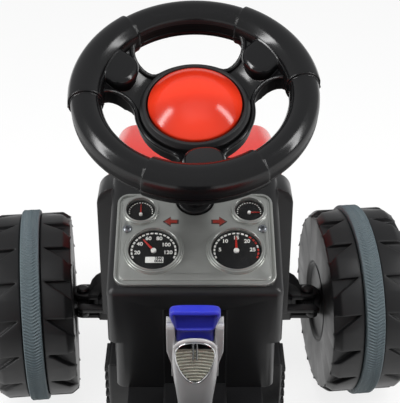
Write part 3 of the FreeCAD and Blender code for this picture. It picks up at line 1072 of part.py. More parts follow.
def crank():
    """Steel crank axle, two arms with pedal spindles, chainring and the two pedals; return its bushes."""
    centre = ("0", "front_axle_y + crank_y", "crank_height")
    axle = new_body("crank_axle", centre, [((0, 1, 0), "90")])
    end = "(tunnel_half_width + crank_arm_gap + crank_arm_thickness)"
    cylinder(axle, "shaft", "crank_axle_diameter/2", "2*" + end, ("0", "0", "0 - " + end))
    bushes = []
    for name, side in SIDES:
        bush = new_body("crank_bush_" + name, centre, [((0, 1, 0), "%d" % (90 * side))])
        flanged_bush(bush, "crank_axle_diameter/2 + running_clearance", "crank_axle_diameter/2 + bush_wall",
                     "tunnel_half_width")
        bushes.append(bush)
        face = "(tunnel_half_width + crank_arm_gap)"
        arm = new_body("crank_arm_" + name, ("%d*%s" % (side, face), centre[1], centre[2]),
                       [((1, 0, 0), crank_turn(side))])
        way = "X" if side > 0 else "-X"
        left = "0" if side > 0 else "0 - crank_arm_thickness"
        box(arm, "bar", ("crank_arm_thickness", "crank_throw", "crank_arm_width*0.8"), (left, "0", "0 - crank_arm_width*0.4"))
        cylinder(arm, "root", "crank_arm_width/2 + 2", "crank_arm_thickness", ("0", "0", "0"), way)
        cylinder(arm, "tip", "crank_arm_width*0.4", "crank_arm_thickness", ("0", "crank_throw", "0"), way)
        cylinder(arm, "spindle", "spindle_diameter/2", "crank_arm_thickness + spindle_length", ("0", "crank_throw", "0"), way)
        cylinder(arm, "bore", "crank_axle_diameter/2", "crank_arm_thickness + 2",
                 ("%d" % -side, "0", "0"), way, cut=True)
        pedal(name, side, face)
    sprocket("chainring", "crank_teeth", "crank_r", "crank_axle_diameter/2", ("sprocket_x", centre[1], centre[2]))
    return bushes


def pedal(name, side, face):
    """Black pedal block with grip bars, free to turn on its spindle."""
    angle = "(%s)*1deg" % crank_turn(side)
    body = new_body("pedal_" + name, ("%d*(%s + crank_arm_thickness + pedal_gap)" % (side, face),
                                      "front_axle_y + crank_y + crank_throw*cos(%s)" % angle,
                                      "crank_height + crank_throw*sin(%s)" % angle))
    left = "0" if side > 0 else "0 - pedal_width"
    box(body, "block", ("pedal_width", "pedal_depth", "pedal_height"), (left, "0 - pedal_depth/2", "0 - pedal_height/2"))
    rounded(body, "corners", "6", lambda b: b.XLength > number("pedal_width - 1"))
    groove = "(pedal_grip_pitch/3)"
    first = "0 - pedal_grip_pitch*(pedal_grip_count - 1)/2 - %s/2" % groove
    for level, z in (("top", "pedal_height/2 - 3"), ("low", "0 - pedal_height/2 - 1")):
        grip = box(body, "grip_" + level, ("pedal_width - 12", groove, "4"), (left + " + 6", first, z), cut=True)
        row(body, "grips_" + level, [grip], "Y_Axis", "pedal_grip_count", "pedal_grip_pitch*(pedal_grip_count - 1)")
    cylinder(body, "bore", "spindle_diameter/2 + running_clearance", "pedal_width + 2",
             (left + " - 1", "0", "0"), "X", cut=True)
    return body


def seat_bolts():
    """Return the two bolts through the seat pan into the base."""
    bolts = []
    for name, side in SIDES:
        bolt = new_body("seat_bolt_" + name, ("%d*seat_bolt_x" % side, "rear_axle_y + 30", "seat_z"))
        turned(bolt, "bolt", [
            ("0", "0 - body_wall - 6"), ("screw_diameter/2", "0 - body_wall - 6"), ("screw_diameter/2", "seat_pan"),
            ("screw_head_diameter/2", "seat_pan"), ("screw_head_diameter/2", "seat_pan + screw_head_height*0.5"),
            ("screw_head_diameter/3", "seat_pan + screw_head_height"), ("0", "seat_pan + screw_head_height")])
        bolts.append(bolt)
    return bolts


LEVER_AT = ("0", "front_axle_y - lever_setback", "lever_pivot_z")
LEVER_TURN = [((1, 0, 0), "lever_lean")]


def window_shape(body, name, offset):
    """Draw the outline of the lever window, narrow below and arched above."""
    right = [("window_width*0.1", "window_bottom"), ("window_width*0.34", "window_bottom + window_height*0.22"),
             ("window_width*0.5", "window_bottom + window_height*0.68"),
             ("window_width*0.5", "window_bottom + window_height*0.84"),
             ("window_width*0.3", "window_bottom + window_height")]
    return outline(body, name, "XZ_Plane", mirrored(right), offset)


def mirrored(right):
    """Return a closed outline from the points of its right half, lowest first."""
    return [("0 - (%s)" % x, z) for x, z in right[::-1]] + right


def gear_pieces():
    """Lever gate on the tunnel, silver lever with a forked head, blue paddle and window; return the lever pin."""
    gate = new_body("gear_gate")
    box(gate, "block", ("2*gate_half_width", "gate_back - gate_front", "gate_top - foot_z"),
        ("0 - gate_half_width", "0 - gate_back", "foot_z"))
    rounded(gate, "edges", "4", lambda b: near(b.ZMin, "gate_top") and near(b.ZMax, "gate_top"))
    wide = "(lever_width + 2*lever_slot_side)"
    box(gate, "slot", (wide, "2*lever_slot_front", "gate_top - foot_z + 2"),
        ("0 - %s/2" % wide, "0 - lever_setback - lever_slot_front", "foot_z - 1"), cut=True)
    cylinder(gate, "pin_hole", "lever_pin_diameter/2", "2*gate_half_width + 2",
             ("0 - gate_half_width - 1", "0 - lever_setback", "lever_pivot_z"), "X", cut=True)
    lever_pin = new_body("lever_pin", LEVER_AT)
    cylinder(lever_pin, "pin", "lever_pin_diameter/2", "2*gate_half_width", ("0 - gate_half_width", "0", "0"), "X")
    lever = new_body("gear_lever", LEVER_AT, LEVER_TURN)
    half, head, gap = "lever_width/2", "lever_fork_width/2", "(lever_fork_width/2 - lever_ear)"
    blade = mirrored([(half, "0"), (half, "lever_neck*0.3"), ("lever_waist/2", "lever_neck*0.85"), (head, "lever_neck"),
                      (head, "lever_fork_top"), (gap, "lever_fork_top"), (gap, "fork_floor")])
    pad(lever, "blade", outline(lever, "face", "XZ_Plane", blade), "lever_thickness", middle=True)
    cylinder(lever, "foot", "lever_thickness/2", "lever_width", ("0 - lever_width/2", "0", "0"), "X")
    rounded(lever, "edges", "2", lambda b: b.YLength < 0.01 and b.ZMin > 1 and abs(b.XMin) > number(half) - 0.1
            and abs(b.XMax) > number(half) - 0.1)
    wide = "window_width*0.5 + shield_margin"
    shield = mirrored([(half + " - 3", "lever_neck*0.16"), (half + " - 2", "lever_neck*0.3"),
                       (wide, "window_bottom + window_height*0.68"), (wide, "window_bottom + window_height*0.84"),
                       ("window_width*0.3 + shield_margin", "window_bottom + window_height + shield_margin")])
    pad(lever, "shield", outline(lever, "shield_face", "XZ_Plane", shield, "lever_thickness/2 - 1"), "shield_rise + 1")
    rounded(lever, "shield_edges", "2", lambda b: near(b.YMin, "0 - lever_face") and near(b.YMax, "0 - lever_face"))
    pocket(lever, "window_pocket", window_shape(lever, "window_face", "lever_face"), "window_pocket")
    cylinder(lever, "pivot_bore", "lever_pin_diameter/2 + running_clearance", "lever_width + 2",
             ("0 - lever_width/2 - 1", "0", "0"), "X", cut=True)
    cylinder(lever, "paddle_bore", "paddle_pin_diameter/2", "lever_fork_width + 2",
             ("0 - lever_fork_width/2 - 1", "0", "paddle_pivot"), "X", cut=True)
    insert = new_body("gear_insert", LEVER_AT, LEVER_TURN)
    pad(insert, "plate", window_shape(insert, "face", "lever_face - window_pocket"), "insert_thickness")
    rib = box(insert, "rib", ("window_width*0.7", "1", "window_height*0.05"),
              ("0 - window_width*0.35", "window_pocket - lever_face - insert_thickness - 0.8",
               "window_bottom + window_height*0.36"))
    row(insert, "ribs", [rib], "Z_Axis", "insert_rib_count", "window_height*0.5")
    window = new_body("gear_window", LEVER_AT, LEVER_TURN)
    pad(window, "pane", window_shape(window, "face", "lever_face - window_thickness"), "window_thickness")
    paddle_at = ("0", "front_axle_y - lever_setback - paddle_pivot*sin(lever_lean*1deg)",
                 "lever_pivot_z + paddle_pivot*cos(lever_lean*1deg)")
    pin = new_body("paddle_pin", paddle_at)
    cylinder(pin, "pin", "paddle_pin_diameter/2", "lever_fork_width", ("0 - lever_fork_width/2", "0", "0"), "X")
    paddle = new_body("gear_paddle", paddle_at, LEVER_TURN)
    narrow = "(%s - paddle_side_gap)" % gap
    top = "(lever_fork_top - paddle_pivot + paddle_rise)"
    block = mirrored([("paddle_block_width/2", "0 - paddle_block_height/2"), ("paddle_block_width/2", "paddle_pin_diameter/2"),
                      (narrow, "paddle_pin_diameter*1.4"), (narrow, top)])
    pad(paddle, "block", outline(paddle, "face", "XZ_Plane", block), "paddle_depth", middle=True)
    rounded(paddle, "top_corners", "paddle_corner", lambda b: b.XLength < 0.01 and b.ZLength < 0.01 and near(b.ZMin, top))
    tray = mirrored([(narrow + " - 6", "paddle_pin_diameter*1.6"), (narrow + " - 4", top + " - paddle_corner"),
                     (narrow + " - 7", top + " - paddle_corner/2")])
    pocket(paddle, "tray_pocket", outline(paddle, "tray", "XZ_Plane", tray, "paddle_depth/2"), "3")
    cylinder(paddle, "bore", "paddle_pin_diameter/2 + running_clearance", "lever_fork_width",
             ("0 - lever_fork_width/2", "0", "0"), "X", cut=True)
    return [lever_pin]


def build():
    """Build every sub-part of the tractor."""
    lower_body()
    dash_console()
    hood()
    nose_trim()
    seat()
    hitch()
    group("body_screws", seat_bolts() + dash_pieces())
    steering_pieces()
    tie_rod()
    group("pivot_pins", front_axle() + gear_pieces())
    group("drive_bushes", rear_axle() + crank())
    chain()
    for name, side in SIDES:
        fender(name, side)
        knuckle(name, side)
        wheel("front", name, side, "(front_stub_r + running_clearance)")
        wheel("rear", name, side, "rear_axle_r" if side > 0 else "(rear_axle_r + running_clearance)")


def check():
    """Stop if any feature failed or any sub-part has no sound shape."""
    for item in doc.Objects:
        if "Invalid" in item.State or "Error" in item.State:
            raise RuntimeError("%s did not build" % item.Name)
    for item in SUB_PARTS:
        if item.Shape.isNull() or not item.Shape.isValid():
            raise RuntimeError("%s has no sound shape" % item.Label)


build()
doc.recompute()
check()
os.makedirs("parts", exist_ok=True)
for item in SUB_PARTS:
    item.Shape.exportStep("parts/%s.step" % item.Label)
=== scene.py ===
"""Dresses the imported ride-on tractor: moulded forms, finishes, studio light and the camera."""

import logging
import math
from collections.abc import Callable, Iterator, Sequence
from contextlib import contextmanager
from dataclasses import dataclass
from enum import Enum

import bmesh
import bpy
from mathutils import Matrix, Vector

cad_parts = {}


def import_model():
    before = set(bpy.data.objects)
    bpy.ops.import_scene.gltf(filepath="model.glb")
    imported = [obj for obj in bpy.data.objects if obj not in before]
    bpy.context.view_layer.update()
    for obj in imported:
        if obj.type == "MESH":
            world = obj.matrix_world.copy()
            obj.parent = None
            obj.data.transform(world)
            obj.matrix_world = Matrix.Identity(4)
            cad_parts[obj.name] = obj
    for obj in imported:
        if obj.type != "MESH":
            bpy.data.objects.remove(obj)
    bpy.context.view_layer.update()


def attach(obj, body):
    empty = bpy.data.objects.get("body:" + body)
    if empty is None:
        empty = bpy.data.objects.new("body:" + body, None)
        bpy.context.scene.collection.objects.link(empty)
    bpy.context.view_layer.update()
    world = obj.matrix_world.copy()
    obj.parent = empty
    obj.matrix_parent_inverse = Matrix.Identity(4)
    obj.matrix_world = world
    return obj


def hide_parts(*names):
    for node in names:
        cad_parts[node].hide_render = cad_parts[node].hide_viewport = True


LOG = logging.getLogger("tractor")
MM = 0.001
FULL_TURN = 2 * math.pi
Tree = bpy.types.NodeTree
Socket = bpy.types.NodeSocket
Piece = bpy.types.Object
Pair = tuple[float, float]
Triple = tuple[float, float, float]


class Side(Enum):
    """The two sides of the tractor, seen from the driver."""

    LEFT = -1
    RIGHT = 1


class Axle(Enum):
    """The two axles."""

    FRONT = "front"
    REAR = "rear"


class Pick(Enum):
    """What is selected in edit mode."""

    FACES = "FACE"
    EDGES = "EDGE"
    POINTS = "VERT"


# --------------------------------------------------------------------------- modelling help


def deselect() -> None:
    """Deselects every object."""
    bpy.ops.object.select_all(action="DESELECT")


def activate(piece: Piece) -> None:
    """Makes a piece the only selected and active object."""
    deselect()
    piece.select_set(True)
    bpy.context.view_layer.objects.active = piece


@contextmanager
def editing(piece: Piece, what: Pick = Pick.FACES) -> Iterator[None]:
    """Opens a piece in edit mode with nothing selected.

    Args:
        piece: The mesh object to edit.
        what: The select mode.
    """
    activate(piece)
    bpy.ops.object.mode_set(mode="EDIT")
    bpy.ops.mesh.select_mode(type=what.value)
    bpy.ops.mesh.select_all(action="DESELECT")
    yield
    bpy.ops.object.mode_set(mode="OBJECT")


def pick(piece: Piece, test: Callable, what: Pick = Pick.FACES) -> None:
    """Selects the faces, edges or points of the piece in edit mode that pass a test.

    Args:
        piece: The mesh object being edited.
        test: Takes a face, edge or point and says whether it is picked.
        what: Which of the three are tested.
    """
    bpy.ops.mesh.select_all(action="DESELECT")
    form = bmesh.from_edit_mesh(piece.data)
    items = {Pick.FACES: form.faces, Pick.EDGES: form.edges, Pick.POINTS: form.verts}[what]
    for item in [item for item in items if test(item)]:
        item.select_set(True)
    bmesh.update_edit_mesh(piece.data)


def middle_of(edge: bmesh.types.BMEdge) -> Vector:
    """Returns an edge's middle."""
    return (edge.verts[0].co + edge.verts[1].co) / 2


def modify(piece: Piece, kind: str, **settings: object) -> None:
    """Adds a modifier to a piece and applies it.

    Args:
        piece: The mesh object.
        kind: Blender's name for the modifier.
        settings: The modifier's own settings.
    """
    activate(piece)
    made = piece.modifiers.new(kind, kind)
    for name, value in settings.items():
        setattr(made, name, value)
    bpy.ops.object.modifier_apply(modifier=made.name)


def smooth(piece: Piece, degrees: float = 38.0) -> Piece:
    """Shades a piece smooth except at edges sharper than an angle, and returns it."""
    activate(piece)
    bpy.ops.object.shade_smooth_by_angle(angle=math.radians(degrees))
    return piece


def close_up(piece: Piece) -> None:
    """Merges doubled points and turns all faces outwards."""
    with editing(piece):
        bpy.ops.mesh.select_all(action="SELECT")
        bpy.ops.mesh.remove_doubles(threshold=1e-6)
        bpy.ops.mesh.normals_make_consistent(inside=False)


def newest(name: str) -> Piece:
    """Names the object that an operator has just added, sets its place into its mesh and returns it."""
    piece = bpy.context.active_object
    piece.name = name
    piece.data.name = name
    bpy.ops.object.transform_apply(location=True, rotation=True, scale=True)
    return piece


def block(name: str, size: Sequence[float], at: Sequence[float]) -> Piece:
    """Adds a block as the start of a piece.

    Args:
        name: The piece's name.
        size: Its three sizes in millimetres.
        at: Its middle in millimetres.

    Returns:
        The new object.
    """
    deselect()
    bpy.ops.mesh.primitive_cube_add(size=1.0, location=Vector(at) * MM, scale=Vector(size) * MM)
    return newest(name)


def spun(name: str, outline: Sequence[Pair], steps: int = 72) -> Piece:
    """Spins a closed outline of (radius, height) points about the Z axis.

    Args:
        name: The piece's name.
        outline: The points in millimetres, in order round the outline.
        steps: How many faces go round.

    Returns:
        The new object.
    """
    deselect()
    bpy.ops.mesh.primitive_circle_add(vertices=len(outline), radius=1.0, fill_type="NOTHING")
    piece = newest(name)
    for point, (radius, height) in zip(piece.data.vertices, outline):
        point.co = Vector((radius, 0.0, height)) * MM
    with editing(piece, Pick.POINTS):
        bpy.ops.mesh.select_all(action="SELECT")
        bpy.ops.mesh.spin(steps=steps, angle=FULL_TURN, center=(0, 0, 0), axis=(0, 0, 1))
    close_up(piece)
    return piece


def woven_grid(name: str, columns: int, rows: int, place: Callable[[int, int], Vector]) -> Piece:
    """Lays a grid over a form whose points follow a rule, and closes its seams.

    Args:
        name: The piece's name.
        columns: Faces along the first direction.
        rows: Faces along the second direction.
        place: Takes a column and a row, and returns the point in millimetres.

    Returns:
        The new object.
    """
    deselect()
    bpy.ops.mesh.primitive_grid_add(x_subdivisions=columns, y_subdivisions=rows, size=2.0)
    piece = newest(name)
    for point in piece.data.vertices:
        column = round((point.co.x + 1) / 2 * columns)
        row = round((point.co.y + 1) / 2 * rows)
        point.co = place(column, row) * MM
    close_up(piece)
    return piece


def prism(name: str, outline: Sequence[Vector], depth: Vector) -> Piece:
    """Fills a closed outline and draws it out to a plate.

    Args:
        name: The piece's name.
        outline: The points in millimetres, in order round the outline.
        depth: How far and which way it is drawn out, in millimetres.

    Returns:
        The new object.
    """
    deselect()
    bpy.ops.mesh.primitive_circle_add(vertices=len(outline), radius=1.0, fill_type="NOTHING")
    plate = newest(name)
    for point, spot in zip(plate.data.vertices, outline):
        point.co = spot * MM
    with editing(plate, Pick.EDGES):
        bpy.ops.mesh.select_all(action="SELECT")
        bpy.ops.mesh.edge_face_add()
        bpy.ops.mesh.extrude_region_move(TRANSFORM_OT_translate={"value": depth * MM})
    close_up(plate)
    return plate


def copied(piece: Piece, place: Matrix) -> Piece:
    """Returns a copy of a piece with its own mesh, moved by a matrix."""
    twin = piece.copy()
    twin.data = piece.data.copy()
    twin.data.transform(place)
    bpy.context.scene.collection.objects.link(twin)
    return twin


def joined(name: str, pieces: Sequence[Piece]) -> Piece:
    """Joins pieces into one object with the given name, and returns it."""
    activate(pieces[0])
    for piece in pieces[1:]:
        piece.select_set(True)
    bpy.ops.object.join()
    pieces[0].name = name
    pieces[0].data.name = name
    return pieces[0]


def remove(piece: Piece) -> None:
    """Deletes an object that was only a tool or a pattern."""
    bpy.data.objects.remove(piece, do_unlink=True)


def carve(piece: Piece, tool: Piece, how: str = "DIFFERENCE") -> None:
    """Cuts a piece with a tool, in one of Blender's ways, and deletes the tool."""
    modify(piece, "BOOLEAN", object=tool, operation=how, solver="EXACT")
    remove(tool)


def round_edges(piece: Piece, width: float, segments: int, degrees: float, **settings: object) -> None:
    """Rounds a piece's edges that are sharper than an angle, by a width in millimetres."""
    modify(piece, "BEVEL", width=width * MM, segments=segments, limit_method="ANGLE",
           angle_limit=math.radians(degrees), **settings)


def round_picked(piece: Piece, test: Callable, width: float, segments: int) -> None:
    """Rounds the edges that pass a test, of the piece in edit mode.

    Args:
        piece: The mesh object being edited.
        test: Takes an edge and says whether it is rounded.
        width: The width of the rounding in millimetres.
        segments: Faces across the rounding.
    """
    pick(piece, test, Pick.EDGES)
    bpy.ops.mesh.bevel(offset=width * MM, segments=segments, affect="EDGES")


def moved(x: float, y: float, z: float = 0.0) -> Matrix:
    """Returns a move by so many millimetres."""
    return Matrix.Translation(Vector((x, y, z)) * MM)


def turned(degrees: float, axis: str = "Z") -> Matrix:
    """Returns a turn about one of the axes."""
    return Matrix.Rotation(math.radians(degrees), 4, axis)


def eased(name: str, node: str, width: float, segments: int = 2, clamp: bool = False) -> Piece:
    """Copies a CAD piece and rounds its sharp edges as its mould does.

    Args:
        name: The new piece's name.
        node: The CAD node to copy.
        width: The width of the rounding in millimetres; none keeps the edges.
        segments: Faces across the rounding.
        clamp: Whether the rounding stops where two would meet.

    Returns:
        The new object.
    """
    source = bpy.data.objects[node]
    piece = bpy.data.objects.new(name, source.data.copy())
    bpy.context.scene.collection.objects.link(piece)
    activate(piece)
    if piece.data.has_custom_normals:
        bpy.ops.mesh.customdata_custom_splitnormals_clear()
    with editing(piece):
        bpy.ops.mesh.select_all(action="SELECT")
        bpy.ops.mesh.remove_doubles(threshold=2e-6)
    if width:
        round_edges(piece, width, segments, 30.0, use_clamp_overlap=clamp, miter_outer="MITER_ARC")
    return smooth(piece)


# --------------------------------------------------------------------------- finishes


def linear(colour: str) -> tuple[float, float, float, float]:
    """Turns an sRGB hex colour into linear values.

    Args:
        colour: Six hex digits after a hash.

    Returns:
        Red, green, blue and full alpha.
    """
    parts = [int(colour[at:at + 2], 16) / 255 for at in (1, 3, 5)]
    return (*[part / 12.92 if part <= 0.04045 else ((part + 0.055) / 1.055) ** 2.4 for part in parts], 1.0)


def per_metre(size: float) -> float:
    """Returns the texture scale of a pattern whose features measure so many millimetres."""
    return 1000.0 / size


def add_node(tree: Tree, kind: str, values: dict | None = None, links: dict | None = None,
             **settings: object) -> bpy.types.Node:
    """Adds a shader node.

    Args:
        tree: The material's node tree.
        kind: The node's type.
        values: Input socket to constant value.
        links: Input socket to the output that feeds it.
        settings: The node's own settings.

    Returns:
        The new node.
    """
    made = tree.nodes.new(kind)
    for name, value in settings.items():
        setattr(made, name, value)
    for socket, value in (values or {}).items():
        made.inputs[socket].default_value = value
    for socket, source in (links or {}).items():
        tree.links.new(source, made.inputs[socket])
    return made


def noise(tree: Tree, where: Socket, size: float, detail: float) -> Socket:
    """Returns a cloudy pattern at a place, with features of so many millimetres."""
    return add_node(tree, "ShaderNodeTexNoise", {"Scale": per_metre(size), "Detail": detail},
                    {"Vector": where}).outputs["Fac"]


def ranged(tree: Tree, value: Socket, start: Pair, end: Pair) -> Socket:
    """Returns a value moved from the range where it starts into the range where it ends."""
    return add_node(tree, "ShaderNodeMapRange", {
        "From Min": start[0], "From Max": start[1], "To Min": end[0], "To Max": end[1]},
        {"Value": value}).outputs["Result"]


def worked(tree: Tree, how: str, first: Socket, second: Socket) -> Socket:
    """Returns the result of one of Blender's sums on two values."""
    return add_node(tree, "ShaderNodeMath", {}, {0: first, 1: second}, operation=how).outputs["Value"]


def blended(tree: Tree, share: Socket, first: str, second: str) -> Socket:
    """Returns a blend of two hex colours by the second one's share."""
    return add_node(tree, "ShaderNodeMix", {6: linear(first), 7: linear(second)}, {0: share},
                    data_type="RGBA").outputs[2]


@dataclass(frozen=True)
class Finish:
    """What every finish shares: a name, and a material that is made once."""

    name: str

    def material(self) -> bpy.types.Material:
        """Returns the finish's material, made on first use."""
        found = bpy.data.materials.get(self.name)
        if found:
            return found
        made = bpy.data.materials.new(self.name)
        made.use_nodes = True
        self.paint(made.node_tree, made.node_tree.nodes["Principled BSDF"])
        return made

    def paint(self, tree: Tree, shader: bpy.types.Node) -> None:
        """Adds the finish's nodes; each kind of finish has its own."""
        raise NotImplementedError

    def on(self, piece: Piece) -> None:
        """Gives a piece this finish alone."""
        piece.data.materials.clear()
        piece.data.materials.append(self.material())


@dataclass(frozen=True)
class Plastic(Finish):
    """Injection or blow moulded plastic: one colour through, tool grain, slow sink waves, rubbed edges."""

    colour: str = "#161617"
    shade: str = "#0f0f10"
    rubbed: str = "#3a3a3b"
    roughness: float = 0.3
    spread: float = 0.06
    grain: float = 0.9
    grain_depth: float = 0.02
    wave: float = 38.0
    wave_depth: float = 0.12
    edge: float = 1.2
    wear: float = 0.35
    ior: float = 1.5
    soft: float = 0.0
    rib: float = 0.0
    under: float = 0.0

    def ribs(self, tree: Tree, where: Socket) -> Socket:
        """Returns the faint bands of ribs behind the wall."""
        return add_node(tree, "ShaderNodeTexWave", {
            "Scale": per_metre(self.rib) / 20, "Distortion": 0.6, "Detail": 1.0},
            {"Vector": where}, bands_direction="Y").outputs["Fac"]

    def matt(self, tree: Tree) -> Socket:
        """Returns how much duller the moulding is where it faces down."""
        normal = add_node(tree, "ShaderNodeTexCoord").outputs["Normal"]
        facing = add_node(tree, "ShaderNodeSeparateXYZ", {}, {"Vector": normal}).outputs["Z"]
        return ranged(tree, facing, (0.15, -0.35), (0.0, self.under))

    def paint(self, tree: Tree, shader: bpy.types.Node) -> None:
        """Adds colour drift, rubbed edges, uneven gloss, grain, sink waves, and any ribs seen through the wall."""
        where = add_node(tree, "ShaderNodeTexCoord").outputs["Object"]
        wave = noise(tree, where, self.wave, 3.0)
        grain = noise(tree, where, self.grain, 2.0)
        rounded = add_node(tree, "ShaderNodeBevel", {"Radius": self.edge * MM}, samples=4).outputs["Normal"]
        plain = add_node(tree, "ShaderNodeNewGeometry").outputs["Normal"]
        turn = add_node(tree, "ShaderNodeVectorMath", {}, {0: rounded, 1: plain},
                        operation="DOT_PRODUCT").outputs["Value"]
        rub = worked(tree, "MULTIPLY", ranged(tree, turn, (0.985, 0.85), (0.0, self.wear)), wave)
        drift = blended(tree, self.ribs(tree, where) if self.rib else wave, self.colour, self.shade)
        colour = add_node(tree, "ShaderNodeMix", {7: linear(self.rubbed)}, {0: rub, 6: drift},
                          data_type="RGBA").outputs[2]
        gloss = ranged(tree, wave, (0.3, 0.7), (self.roughness - self.spread, self.roughness + self.spread))
        sink = add_node(tree, "ShaderNodeBump", {"Distance": self.wave_depth * MM},
                        {"Height": wave, "Normal": rounded})
        tool = add_node(tree, "ShaderNodeBump", {"Distance": self.grain_depth * MM},
                        {"Height": grain, "Normal": sink.outputs["Normal"]})
        if self.under:
            matt = self.matt(tree)
            gloss = worked(tree, "ADD", gloss, matt)
            level = ranged(tree, matt, (0.0, self.under), (0.5, 0.08))
            tree.links.new(level, shader.inputs["Specular IOR Level"])
        tree.links.new(colour, shader.inputs["Base Color"])
        tree.links.new(gloss, shader.inputs["Roughness"])
        tree.links.new(tool.outputs["Normal"], shader.inputs["Normal"])
        shader.inputs["IOR"].default_value = self.ior
        if self.soft:
            shader.inputs["Subsurface Weight"].default_value = self.soft
            shader.inputs["Subsurface Radius"].default_value = (0.004, 0.0012, 0.0008)
            shader.inputs["Subsurface Scale"].default_value = 1.0


@dataclass(frozen=True)
class Metal(Finish):
    """Bare or plated metal, or a metallised film: drawn lines or fine flake in its gloss."""

    colour: str = "#b9babd"
    shade: str = "#a2a3a6"
    roughness: float = 0.3
    spread: float = 0.08
    line: float = 0.8
    stretch: Triple = (1.0, 1.0, 1.0)
    depth: float = 0.006
    metallic: float = 1.0
    cloud: float = 30.0

    def paint(self, tree: Tree, shader: bpy.types.Node) -> None:
        """Adds drawn lines to colour, gloss and surface."""
        where = add_node(tree, "ShaderNodeTexCoord").outputs["Object"]
        along = add_node(tree, "ShaderNodeMapping", {"Scale": self.stretch}, {"Vector": where}).outputs["Vector"]
        lines = noise(tree, along, self.line, 3.0)
        cloud = noise(tree, where, self.cloud, 2.0)
        colour = blended(tree, lines, self.colour, self.shade)
        gloss = ranged(tree, cloud, (0.3, 0.7), (self.roughness - self.spread, self.roughness + self.spread))
        bump = add_node(tree, "ShaderNodeBump", {"Distance": self.depth * MM}, {"Height": lines})
        tree.links.new(colour, shader.inputs["Base Color"])
        tree.links.new(gloss, shader.inputs["Roughness"])
        tree.links.new(bump.outputs["Normal"], shader.inputs["Normal"])
        shader.inputs["Metallic"].default_value = self.metallic


@dataclass(frozen=True)
class Clear(Finish):
    """Clear polystyrene as a thin cover: nearly all see-through, with the faint haze of handling."""

    roughness: float = 0.04
    ior: float = 1.59
    veil: float = 0.07
    haze: float = 9.0
    colour: str = "#1b1d1e"

    def paint(self, tree: Tree, shader: bpy.types.Node) -> None:
        """Adds the see-through cover with an uneven haze."""
        where = add_node(tree, "ShaderNodeTexCoord").outputs["Object"]
        haze = noise(tree, where, self.haze, 4.0)
        gloss = ranged(tree, haze, (0.4, 0.8), (self.roughness, self.roughness * 3))
        tree.links.new(gloss, shader.inputs["Roughness"])
        shader.inputs["Base Color"].default_value = linear(self.colour)
        shader.inputs["Alpha"].default_value = self.veil
        shader.inputs["IOR"].default_value = self.ior


@dataclass(frozen=True)
class Ink(Finish):
    """Printed ink: flat, with the slight mottle of pad printing."""

    colour: str = "#e8e8e4"
    thin: str = "#cfcfca"
    speck: float = 1.5

    def paint(self, tree: Tree, shader: bpy.types.Node) -> None:
        """Adds the mottle to the colour and the gloss."""
        where = add_node(tree, "ShaderNodeTexCoord").outputs["Object"]
        mottle = noise(tree, where, self.speck, 3.0)
        tree.links.new(blended(tree, mottle, self.colour, self.thin), shader.inputs["Base Color"])
        tree.links.new(ranged(tree, mottle, (0.0, 1.0), (0.4, 0.6)), shader.inputs["Roughness"])


# Gloss black ABS: deep black, soft mirror of the studio, slight orange peel, matt where it faces down.
GLOSS_BLACK = Plastic("gloss_black_abs", "#0d0d0e", "#09090a", "#2a2a2b", roughness=0.17, spread=0.04, grain=1.6,
                      grain_depth=0.010, wave=34.0, wave_depth=0.10, under=0.4)
# The console's black ABS: spark eroded tool, so a soft grey sheen instead of a mirror.
CONSOLE_BLACK = Plastic("eroded_black_abs", "#171718", "#121213", "#3c3c3d", roughness=0.34, spread=0.05, grain=1.0,
                        grain_depth=0.02, wave=40.0, wave_depth=0.14, edge=2.2)
# Blow moulded black polyethylene: satin, a fine tool grain and slow waves.
SATIN_BLACK = Plastic("satin_black_polyethylene", "#151516", "#101011", "#3c3c3d", roughness=0.38, spread=0.06,
                      grain=0.9, grain_depth=0.03)
# The tyres' polyethylene: a little greyer and duller, scuffed on the lugs.
TYRE_BLACK = Plastic("tyre_black_polyethylene", "#141415", "#0f0f10", "#454546", roughness=0.42, spread=0.07,
                     grain=1.1, grain_depth=0.04, edge=2.2, wear=0.45)
# Moulded ring of the horn: satin plastic, a little greyer than the wheel.
SATIN_GREY = Plastic("satin_grey_abs", "#1d1d1e", "#171718", "#3a3a3b", roughness=0.42, spread=0.05)
# Red ABS: saturated warm red with a wet gloss, light scattering a little way in.
GLOSS_RED = Plastic("gloss_red_abs", "#d92415", "#c91d10", "#ea6a5c", roughness=0.20, spread=0.05, grain=1.6,
                    grain_depth=0.010, wave=40.0, wave_depth=0.10, soft=0.15)
# The horn's cap: warmer red, its inner ribs showing faintly through the wall.
HORN_RED = Plastic("horn_red_abs", "#c8311a", "#b02713", "#d05c44", roughness=0.16, spread=0.03, grain=1.4,
                   grain_depth=0.006, wave=40.0, wave_depth=0.06, soft=0.1, rib=6.0)
# The needles: red moulded acetal, duller than the hood.
SATIN_RED = Plastic("satin_red_acetal", "#c7281c", "#b32017", "#d86055", roughness=0.35, spread=0.05, soft=0.1)
# The turn arrows: the same acetal over the dark tool face, so browner.
ARROW_RED = Plastic("brown_red_acetal", "#85291f", "#6e211a", "#a84a3e", roughness=0.38, spread=0.05)
# Blue polypropylene of the paddle: waxy, even blue.
SATIN_BLUE = Plastic("waxy_blue_polypropylene", "#2c32a8", "#262b98", "#5b60c6", roughness=0.33, spread=0.05,
                     grain=1.2, grain_depth=0.02, soft=0.1)
# Thermoplastic rubber of the bands: slate grey, dull, with paler rubbed tips.
RUBBER_GREY = Plastic("slate_grey_rubber", "#525d60", "#49545a", "#78858a", roughness=0.62, spread=0.06, grain=0.7,
                      grain_depth=0.03, edge=0.8, wear=0.8)
# Grey nylon of the bushes.
NYLON_GREY = Plastic("grey_nylon", "#6b6c6d", "#5f6061", "#858687", roughness=0.45, spread=0.05)
